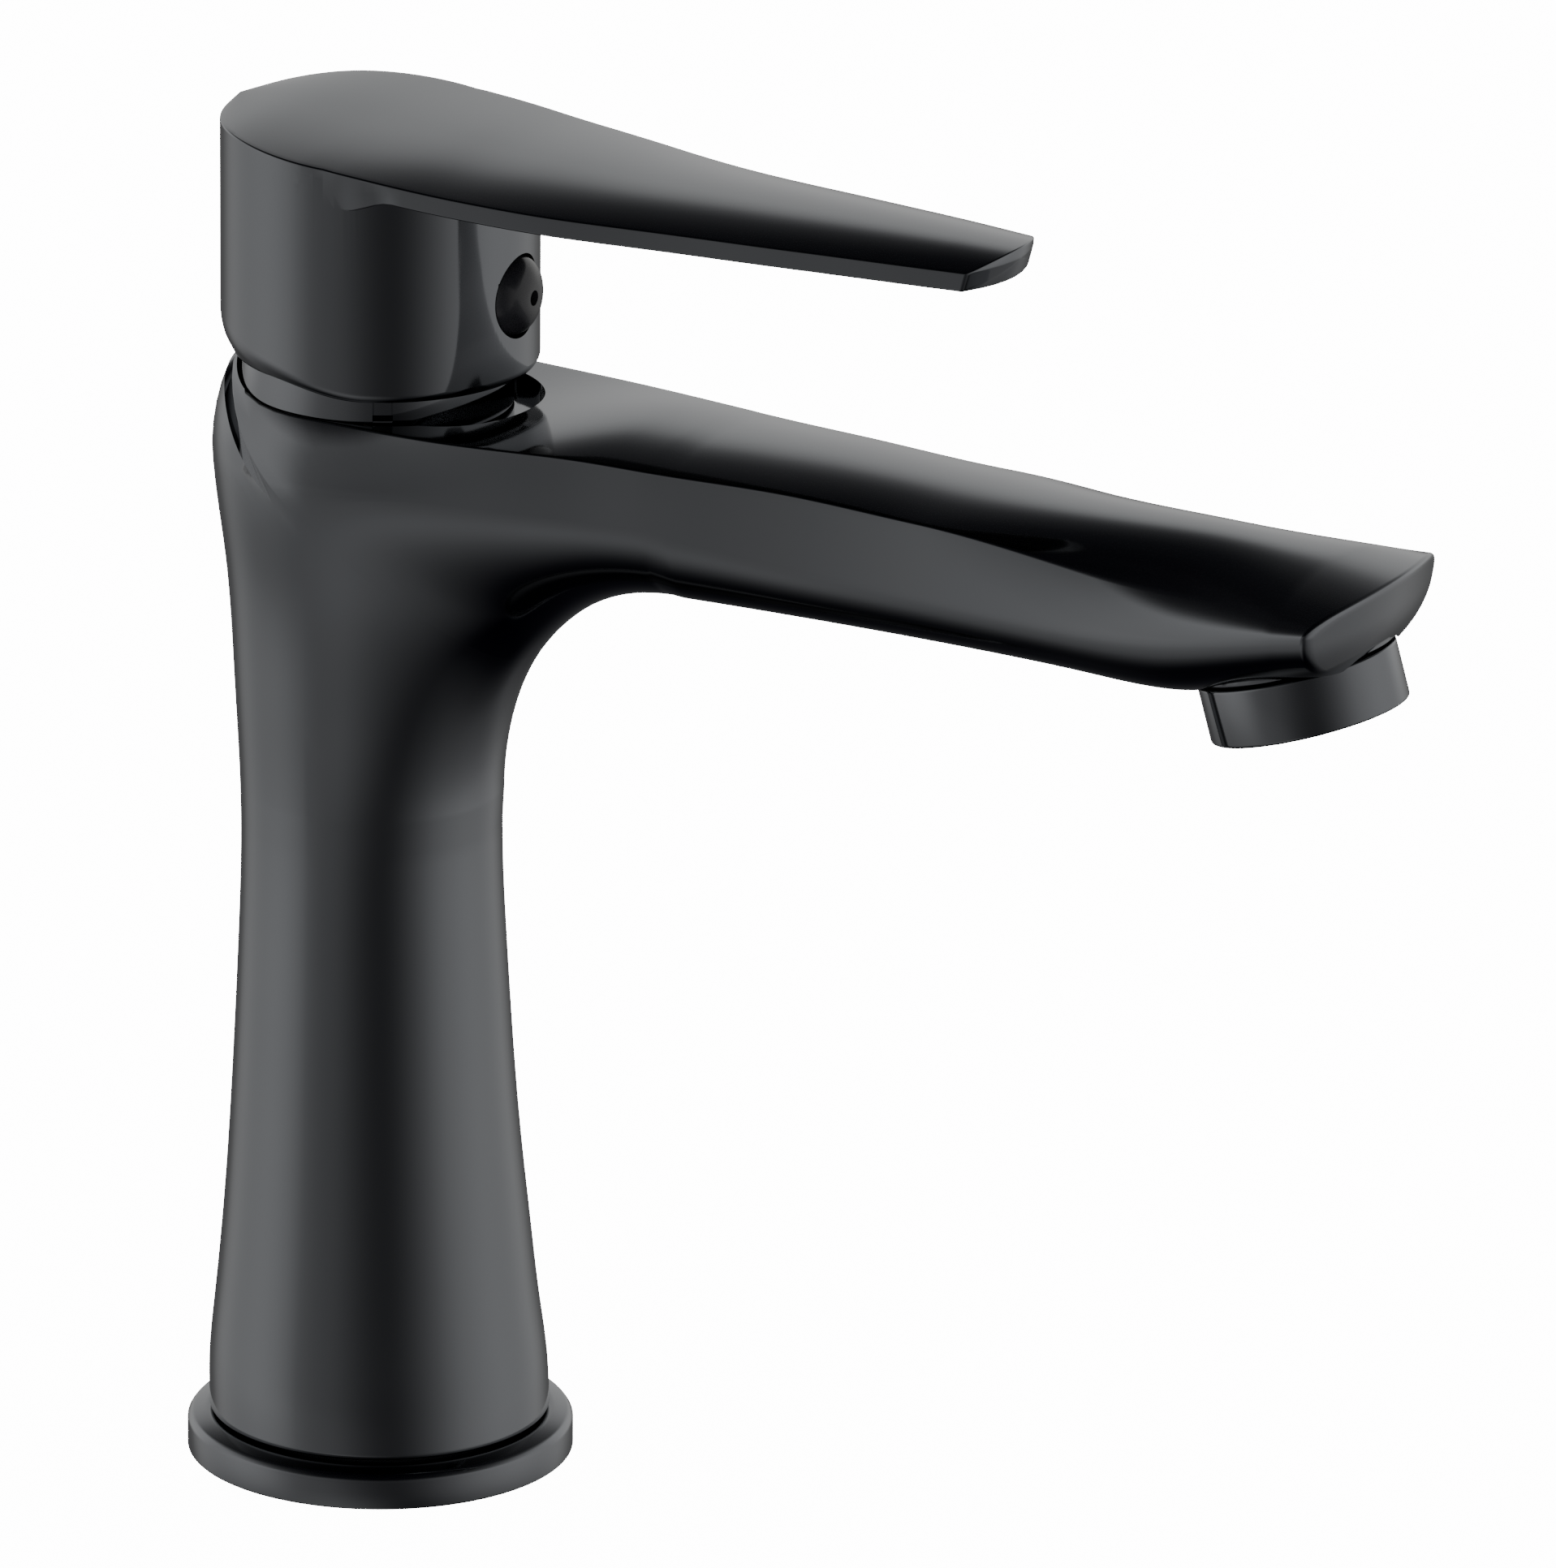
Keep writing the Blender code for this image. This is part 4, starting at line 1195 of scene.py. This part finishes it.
@dataclass
class Handle:
    """Drum and lever in one casting.

    Attributes:
        drum_r, cavity_r: outer and inner radius of the drum.
        tip_u: how far the lever's tip stands out.
        tip_bow, tip_r: how far the tip's face bows back, and over which half-width.
        tip_middle_z: height of the middle of the tip's face.
        edge_h: height of the plate's side.
        screw_z: height of the screw's bore.
        button_r: radius of the button over the screw.
        button_face, button_foot: how far the button's flat and its foot stand out.
        button_rim: how far out the rim's rounding ends.
        button_round: width and height of that rounding.
        boss_r, boss_range: radius and heights of the boss round the stem.
        rib_r, rib_range: radius and reach of the rib round the screw's bore.
        stem_half, stem_top: half-width and ceiling of the stem's socket.
        screw_r, screw_seat: radius of the screw's bore, and how far out its seat lies.
        drum_span: u between which the plate leaves the drum.
        drum_overlap: how much deeper the plate is inside the drum.
        relief_h, relief_depth: size of the relief at the drum's foot in front, and what is added behind.
        round_edge: length of the rounding of the plate's edges.
        plan: (u, half-width) of the plate.
        top_edge: (u, z) of the top's edge.
        crown: (u, how far the top stands above its edge).
    """

    drum_r: float = 20.4
    cavity_r: float = 18.2
    tip_u: float = 91.5
    tip_bow: float = 2.6
    tip_r: float = 8.6
    tip_middle_z: float = 174.9
    edge_h: float = 2.5
    screw_z: float = 159.0
    button_r: float = 5.3
    button_face: float = 18.9
    button_foot: float = 18.0
    button_rim: float = 19.2
    button_round: tuple[float, float] = (4.3, 3.1)
    boss_r: float = 7.5
    boss_range: tuple[float, float] = (151.5, 176.5)
    rib_r: float = 7.6
    rib_range: tuple[float, float] = (4.0, 18.9)
    stem_half: float = 3.3
    stem_top: float = 168.3
    screw_r: float = 2.4
    screw_seat: float = 17.6
    drum_span: tuple[float, float] = (5.0, 13.0)
    drum_overlap: float = 2.6
    relief_h: tuple[float, float] = (0.7, 3.9)
    relief_depth: tuple[float, float] = (0.35, 1.85)
    round_edge: float = 0.3
    plan: Knots = (
        (4.0, 20.3), (11.5, 20.0), (17.5, 19.4), (25.0, 18.5), (31.0, 17.6), (38.0, 16.2), (46.0, 14.7),
        (54.0, 13.6), (62.0, 12.7), (70.0, 11.7), (78.0, 10.7), (86.0, 9.5), (93.0, 8.4),
    )
    top_edge: Knots = (
        (-20.4, 179.6), (-14.0, 179.8), (-8.0, 179.5), (-2.0, 179.0), (5.0, 178.4), (12.0, 177.75),
        (18.0, 177.15), (25.0, 176.6), (36.0, 175.9), (48.0, 175.5), (62.0, 175.3), (78.0, 175.1),
        (93.0, 174.8),
    )
    crown: Knots = ((-20.4, 0.4), (0.0, 0.6), (20.0, 1.2), (45.0, 1.7), (70.0, 1.7), (93.0, 1.5))

    def __post_init__(self) -> None:
        """Samples the curves that the casting follows."""
        self.plan_at = Curve(self.plan)
        self.top_at = Curve(self.top_edge)
        self.crown_at = Curve(self.crown)

    def half_width(self, u: float) -> float:
        """Half-width of the plate, which is round behind.

        Args:
            u: place along the plate.

        Returns:
            The half-width there.
        """
        if u < 4.0:
            return sqrt(max(self.drum_r**2 - u * u, 0.0))
        return self.plan_at(u)

    def tip_at(self, x: float, z: float) -> float:
        """How far the tip's face stands out: bowed forward in plan."""
        return self.tip_u - self.tip_bow * (x / self.tip_r) ** 2 - 0.25 * max(175.0 - z, 0.0)

    def plate_half(self, u: float) -> Half:
        """Half section of the plate, from its underside's middle to its top's.

        Args:
            u: place along the plate.

        Returns:
            Its points in order.
        """
        width, top, crown = self.half_width(u), self.top_at(u), self.crown_at(u)
        low, soft = top - self.edge_h, min(self.round_edge, 0.3 * width)
        after = 1.0 - soft / width

        def dome(part: float) -> Point:
            """The top's point at a share of the half-width."""
            return u, top + crown * (1.0 - part**2.2), width * part

        in_drum = 1.0 - ease(u, *self.drum_span)
        foot = min(width, sqrt(max(self.drum_r**2 - u * u, 0.0)))
        foot = width + (foot - width) * in_drum if u < self.drum_r else width
        low -= self.drum_overlap * in_drum
        half = [(u, low, foot * part) for part in (0.0, 0.25, 0.5, 0.75, after)]
        half += rounded(half[-1], (u, low, foot), (u, low + soft, foot))
        rise = ((0.0, foot), (0.5, 0.5 * (foot + width)), (1.0, width))
        half += [(u, low + soft + (top - low - 2.0 * soft) * part, side) for part, side in rise]
        half += rounded(half[-1], (u, top, width), dome(after))
        half += [dome(after * (1.0 - i / 22.0)) for i in range(23)]
        return half

    def tip_skin_ring(self, inset: float) -> Half:
        """Half ring on the plate's skin at a distance behind the tip's face.

        Args:
            inset: the distance.

        Returns:
            The ring's points in order.
        """
        found = []
        for j in range(len(self.plate_half(90.0))):
            def past(u: float, j: int = j) -> float:
                """How far a place lies past the ring."""
                _, z, width = self.plate_half(u)[j]
                return u - (self.tip_at(width, z) - inset)

            found.append(self.plate_half(solve(past, 84.0, 92.9))[j])
        return found

    def tip_face_ring(self, rim: Half, scale: float) -> Half:
        """Half ring on the tip's face.

        Args:
            rim: the face's outer edge.
            scale: size of the ring, as a share of that edge.

        Returns:
            The ring's points in order.
        """
        points = []
        for _, z, width in rim:
            x, height = width * scale, self.tip_middle_z + (z - self.tip_middle_z) * scale
            points.append((self.tip_at(x, height), height, x))
        return points

    def tip_rings(self) -> list[Half]:
        """The rounding and the face at the lever's tip.

        Returns:
            The half rings in order.
        """
        rim, before = self.tip_skin_ring(0.0), self.tip_skin_ring(self.round_edge)
        after = self.tip_face_ring(rim, 0.93)
        corners = [rounded(a, b, c) for a, b, c in zip(before, rim, after)]
        rings = [before, *[[corner[k] for corner in corners] for k in range(3)], after]
        return rings + [self.tip_face_ring(rim, scale) for scale in (0.7, 0.45, 0.2, 0.05)]

    def back_angles(self) -> np.ndarray:
        """Angles from the back at which plate and drum share their sides."""
        return np.linspace(0.03, 0.5 * pi, 44)

    def plate(self) -> bpy.types.Object:
        """Makes the lever's plate with its crowned top.

        Returns:
            The plate, which the rest of the casting is joined to.
        """
        stations = [-self.drum_r * cos(turn) for turn in self.back_angles()]
        stations += list(np.linspace(1.5, 84.0, 60))
        halves = [self.plate_half(u) for u in stations] + self.tip_rings()
        return loft("handle_casting", [CastBody.whole(half) for half in halves])

    def drum_bottom(self, u: float) -> float:
        """Lower edge of the drum; the back is higher, to clear the shoulder as the lever lifts."""
        return 148.0 + 1.6 * ease(-u, -8.0, 6.0)

    def drum_section(self, turn: float) -> list[Point]:
        """Outline of the drum's wall, relieved at its foot and most of all behind.

        Args:
            turn: angle from the spout's direction.

        Returns:
            The outline's (x, y, z) points.
        """
        back = (0.5 * (1.0 - cos(turn))) ** 3
        u = self.drum_r * cos(turn)
        low = self.drum_bottom(u)
        rise = self.relief_h[0] + self.relief_h[1] * back
        depth = self.relief_depth[0] + self.relief_depth[1] * back
        top = self.top_at(u) - 1.3
        wall = [(self.drum_r, top), (self.drum_r, top - 1.6), (self.drum_r, 0.5 * (top + low))]
        relief = rounded((self.drum_r, low + 1.45 * rise, 0.0), (self.drum_r, low + 0.85 * rise, 0.0),
                         (self.drum_r - 0.42 * depth, low + 0.48 * rise, 0.0), 4)
        wall += [(self.drum_r, low + 1.45 * rise)] + [(r, z) for r, z, _ in relief]
        wall += [(self.drum_r - 0.42 * depth, low + 0.48 * rise)]
        wall += [(self.drum_r - 0.68 * depth, low + 0.24 * rise)]
        wall += [(self.drum_r - 0.9 * depth, low + 0.12), (self.drum_r - depth, low)]
        wall += [(self.cavity_r, low), (self.cavity_r, top)]
        return [(r * sin(turn), -r * cos(turn), z) for r, z in wall]

    def build(self) -> None:
        """Makes the casting and the button over its screw."""
        casting = self.plate()
        behind = list(self.back_angles())
        turns = [pi - turn for turn in behind] + [pi + turn for turn in behind] + [pi]
        turns += list(np.linspace(-0.5 * pi, 0.5 * pi, 91)[1:-1])
        ring_turns = sorted(turn % (2.0 * pi) for turn in turns)
        drum = loft("drum", [self.drum_section(turn) for turn in ring_turns], endless=True)
        middle = (0.0, 0.0, self.screw_z)
        boss = turned("boss", rod(self.boss_r, *self.boss_range), 64)
        rib = lay_along(turned("rib", rod(self.rib_r, *self.rib_range), 64), middle, FORWARD)
        combine(casting, [drum, boss, rib], Cut.JOIN)
        bore_r, outside, bore_end = self.button_r + 0.2, 30.0, 2.0
        bore = [(0.0, outside), (bore_r, outside), (bore_r, self.screw_seat), (self.screw_r, self.screw_seat),
                (self.screw_r, bore_end), (0.0, bore_end)]
        half, bottom = self.stem_half, 150.0
        low, high = (-half, -half, bottom), (half, half, self.stem_top)
        stem_socket = box("stem_socket", low, high)
        combine(casting, [stem_socket, lay_along(turned("bore", bore, 96), middle, FORWARD)])
        ease_edges(casting, 0.12, 2, 50.0)
        hand_over(casting, Body.LEVER, BLACK_CHROME, ["handle"])
        button = lay_along(turned("screw_button", self.button_outline(), 96), middle, FORWARD)
        hand_over(button, Body.LEVER, DARK_PLASTIC, ["screw_cover"])

    def button_outline(self) -> Outline:
        """Outline of the button: a dimple in the middle of a rounded rim.

        Returns:
            The outline for turned().
        """
        width, height = self.button_round
        dimple_r = self.button_r - width
        outline = [(0.0, self.button_face), (dimple_r, self.button_face)]
        turns = np.linspace(0.0, 0.5 * pi, 20)
        outline += [(dimple_r + width * sin(turn), self.button_rim + height * cos(turn)) for turn in turns]
        return outline + [(self.button_r, self.button_foot), (0.0, self.button_foot)]


# ---------------------------------------------------------------- studio

Stops = tuple[tuple[float, float], ...]  # (angle in degrees, light level)


@dataclass(frozen=True)
class Panel:
    """A soft panel of light, strongest where both of its curves are high.

    Attributes:
        around: levels round the studio, from the camera's side.
        above: levels from straight down to straight up.
    """

    around: Stops
    above: Stops


SIDE_PANELS = Panel(
    around=(
        (-180.0, 0.05), (-165.0, 0.08), (-152.0, 0.14), (-140.0, 0.46), (-128.0, 0.60), (-108.0, 0.62),
        (-90.0, 0.70), (-70.0, 0.58), (-52.0, 0.24), (-32.0, 0.22), (-12.0, 0.09), (8.0, 0.045),
        (25.0, 0.12), (42.0, 0.28), (58.0, 0.48), (75.0, 0.60), (92.0, 0.67), (110.0, 0.62),
        (132.0, 0.64), (148.0, 0.26), (162.0, 0.10), (180.0, 0.05),
    ),
    above=(
        (-90.0, 0.0), (-64.0, 0.003), (-56.0, 0.03), (-48.0, 0.14), (-42.0, 0.27), (-35.0, 0.38),
        (-29.0, 0.55), (-24.0, 0.80), (-18.0, 1.0), (-10.0, 1.05), (-2.0, 1.25), (8.0, 1.3),
        (18.0, 1.15), (26.0, 0.95), (32.0, 0.65), (38.0, 0.28), (46.0, 0.08), (60.0, 0.012), (90.0, 0.0),
    ),
)
BACK_PANEL = Panel(
    around=(
        (-180.0, 1.0), (-150.0, 1.0), (-132.0, 0.5), (-115.0, 0.0), (115.0, 0.0), (132.0, 0.5),
        (150.0, 1.0), (180.0, 1.0),
    ),
    above=(
        (-90.0, 0.0), (-18.0, 0.01), (-10.0, 0.15), (-3.0, 0.52), (4.0, 0.62), (14.0, 0.63),
        (20.0, 0.60), (25.0, 0.42), (29.0, 0.14), (34.0, 0.04), (44.0, 0.012), (70.0, 0.002),
    ),
)
LOW_PANEL = Panel(
    around=(
        (-180.0, 0.0), (-100.0, 0.0), (-72.0, 0.2), (-52.0, 0.8), (-30.0, 1.0), (-12.0, 0.75),
        (8.0, 0.2), (25.0, 0.0), (180.0, 0.0),
    ),
    above=(
        (-90.0, 0.0), (-76.0, 0.03), (-62.0, 0.14), (-50.0, 0.24), (-42.0, 0.29), (-35.0, 0.30),
        (-28.0, 0.16), (-22.0, 0.05), (-12.0, 0.0), (90.0, 0.0),
    ),
)


@dataclass
class LightNodes:
    """Short ways to add nodes to the world's tree.

    Attributes:
        tree: the tree.
        direction: the socket with the direction that a ray comes from.
    """

    tree: bpy.types.NodeTree
    direction: bpy.types.NodeSocket

    def calculate(self, operation: str, first: object, second: object = None) -> bpy.types.NodeSocket:
        """Adds a calculation.

        Args:
            operation: Blender's name for it.
            first: its first value, a number or a socket.
            second: its second value, if it takes one.

        Returns:
            The socket with the result.
        """
        node = self.tree.nodes.new("ShaderNodeMath")
        node.operation = operation
        for socket, value in zip(node.inputs, (first, second)):
            if isinstance(value, bpy.types.NodeSocket):
                self.tree.links.new(value, socket)
            elif value is not None:
                socket.default_value = value
        return node.outputs[0]

    def along(self, axis: Point) -> bpy.types.NodeSocket:
        """Adds the direction's share along an axis.

        Args:
            axis: the axis, of length 1.

        Returns:
            The socket with the share.
        """
        node = self.tree.nodes.new("ShaderNodeVectorMath")
        node.operation = "DOT_PRODUCT"
        self.tree.links.new(self.direction, node.inputs[0])
        node.inputs[1].default_value = axis
        return node.outputs["Value"]

    def ramp(self, stops: Stops, angle: bpy.types.NodeSocket, low: float,
             high: float) -> bpy.types.NodeSocket:
        """Adds light levels along an angle.

        Args:
            stops: the levels.
            angle: the socket with the angle, in radians.
            low: the angle's smallest value, in degrees.
            high: its largest value, in degrees.

        Returns:
            The socket with the level.
        """
        share = self.calculate("DIVIDE", self.calculate("SUBTRACT", angle, radians(low)), radians(high - low))
        node = self.tree.nodes.new("ShaderNodeValToRGB")
        node.color_ramp.interpolation = "B_SPLINE"
        elements = node.color_ramp.elements
        for i, (stop, level) in enumerate(stops):
            position = (stop - low) / (high - low)
            element = elements[i] if i < len(elements) else elements.new(position)
            element.position = position
            element.color = (level, level, level, 1.0)
        self.tree.links.new(share, node.inputs["Fac"])
        return node.outputs["Color"]


@dataclass
class Studio:
    """White floor, soft studio light and the camera.

    Attributes:
        camera_at: where the camera stands, in metres.
        lens: focal length, in millimetres.
        turn_right: turn of the view from the faucet's axis.
        tilt_down: tilt of the view below the level.
        roll: roll of the view.
        floor_size: half the floor's width, in millimetres.
        floor_glow: how strongly the floor glows, so that it reads as white.
        panels: the soft panels that polish reflects.
        dark: light level between the panels.
        warmth: share of the light level that blue keeps, and what is added to it.
    """

    camera_at: tuple[float, float, float] = (-2.1866, -1.2120, 0.950)
    lens: float = 472.99
    turn_right: float = radians(1.169)
    tilt_down: float = radians(18.976)
    roll: float = radians(0.379)
    floor_size: float = 40000.0
    floor_glow: float = 14.0
    panels: tuple[Panel, ...] = (SIDE_PANELS, BACK_PANEL, LOW_PANEL)
    dark: float = 0.001
    warmth: tuple[float, float] = (0.985, 0.004)

    def camera(self) -> None:
        """Sets the long lens that looks across the near side."""
        ahead = Vector((-self.camera_at[0], -self.camera_at[1], 0.0)).normalized()
        ahead.rotate(Matrix.Rotation(-self.turn_right, 3, "Z"))
        look = ahead * cos(self.tilt_down) - Vector((0.0, 0.0, sin(self.tilt_down)))
        right = look.cross(Vector((0.0, 0.0, 1.0))).normalized()
        up = right.cross(look)
        rolled_right = right * cos(self.roll) + up * sin(self.roll)
        rolled_up = up * cos(self.roll) - right * sin(self.roll)
        data = bpy.data.cameras.new("camera")
        data.lens = self.lens
        data.sensor_width = 36.0
        data.clip_end = 20.0
        camera = bpy.data.objects.new("camera", data)
        axes = Matrix((rolled_right, rolled_up, -look)).transposed().to_4x4()
        camera.matrix_world = Matrix.Translation(self.camera_at) @ axes
        bpy.context.scene.collection.objects.link(camera)
        bpy.context.scene.camera = camera

    def floor(self) -> None:
        """Lays a wide white floor that doesn't show in the polish."""
        sheet = bmesh.new()
        bmesh.ops.create_grid(sheet, x_segments=1, y_segments=1, size=self.floor_size)
        floor = new_piece("floor", sheet)
        material = bpy.data.materials.new("pale_floor")
        material.use_nodes = True
        shader = material.node_tree.nodes["Principled BSDF"]
        shader.inputs["Base Color"].default_value = (0.9, 0.9, 0.9, 1.0)
        shader.inputs["Emission Color"].default_value = (1.0, 1.0, 1.0, 1.0)
        shader.inputs["Emission Strength"].default_value = self.floor_glow
        shader.inputs["Roughness"].default_value = 0.9
        shader.inputs["Specular IOR Level"].default_value = 0.0
        floor.data.materials.append(material)
        floor.visible_glossy = False
        floor.visible_diffuse = False

    def world(self) -> None:
        """Makes white surroundings, with soft panels that only polish sees."""
        world = bpy.data.worlds.new("studio")
        bpy.context.scene.world = world
        world.use_nodes = True
        nodes, links = world.node_tree.nodes, world.node_tree.links
        background = nodes["Background"]
        place = nodes.new("ShaderNodeTexCoord")
        parts = nodes.new("ShaderNodeSeparateXYZ")
        links.new(place.outputs["Generated"], parts.inputs["Vector"])
        light = LightNodes(world.node_tree, place.outputs["Generated"])
        front = Vector((self.camera_at[0], self.camera_at[1], 0.0)).normalized()
        right = (-front.y, front.x, 0.0)
        azimuth = light.calculate("ARCTAN2", light.along(right), light.along(tuple(front)))
        rise = light.calculate("ARCSINE", parts.outputs["Z"])
        level = self.dark
        for panel in self.panels:
            around = light.ramp(panel.around, azimuth, -180.0, 180.0)
            above = light.ramp(panel.above, rise, -90.0, 90.0)
            level = light.calculate("ADD", light.calculate("MULTIPLY", around, above), level)
        tint = nodes.new("ShaderNodeMix")
        tint.data_type = "RGBA"
        tint.inputs["A"].default_value = (1.0, 1.0, 1.0, 1.0)
        ray = nodes.new("ShaderNodeLightPath")
        links.new(ray.outputs["Is Glossy Ray"], tint.inputs["Factor"])
        grey = nodes.new("ShaderNodeCombineColor")
        for channel in ("Red", "Green"):
            links.new(level, grey.inputs[channel])
        blue = light.calculate("MULTIPLY", level, self.warmth[0])
        links.new(light.calculate("ADD", blue, self.warmth[1]), grey.inputs["Blue"])
        links.new(grey.outputs["Color"], tint.inputs["B"])
        links.new(tint.outputs["Result"], background.inputs["Color"])
        background.inputs["Strength"].default_value = 1.0


# ---------------------------------------------------------------- the whole

def dress_hidden_nodes(nodes: dict[str, bpy.types.Object], record: dict) -> None:
    """Gives every node of the frame its finish, by its slot in the record.

    Args:
        nodes: the frame's objects by name.
        record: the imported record.
    """
    finishes = {finish.slot: finish for finish in FINISHES}
    for part in record["subparts"]:
        node = nodes[part["node"]]
        material = finishes[part["material_slot"]].material()
        for slot in node.material_slots:
            slot.material = material
        LOG.info("%s: dressed in %s", node.name, part["material_slot"])


def main() -> None:
    """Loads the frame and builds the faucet's visible pieces around it."""
    logging.basicConfig(level=logging.INFO, format="%(name)s: %(message)s")
    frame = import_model()
    studio = Studio()
    studio.camera()
    studio.floor()
    studio.world()
    dress_hidden_nodes(frame["nodes"], frame["record"])
    aerator = Aerator()
    CastBody().build(aerator)
    aerator.build()
    BaseRing().build()
    TrimSleeve().build()
    Handle().build()


if __name__ == "__main__":
    main()
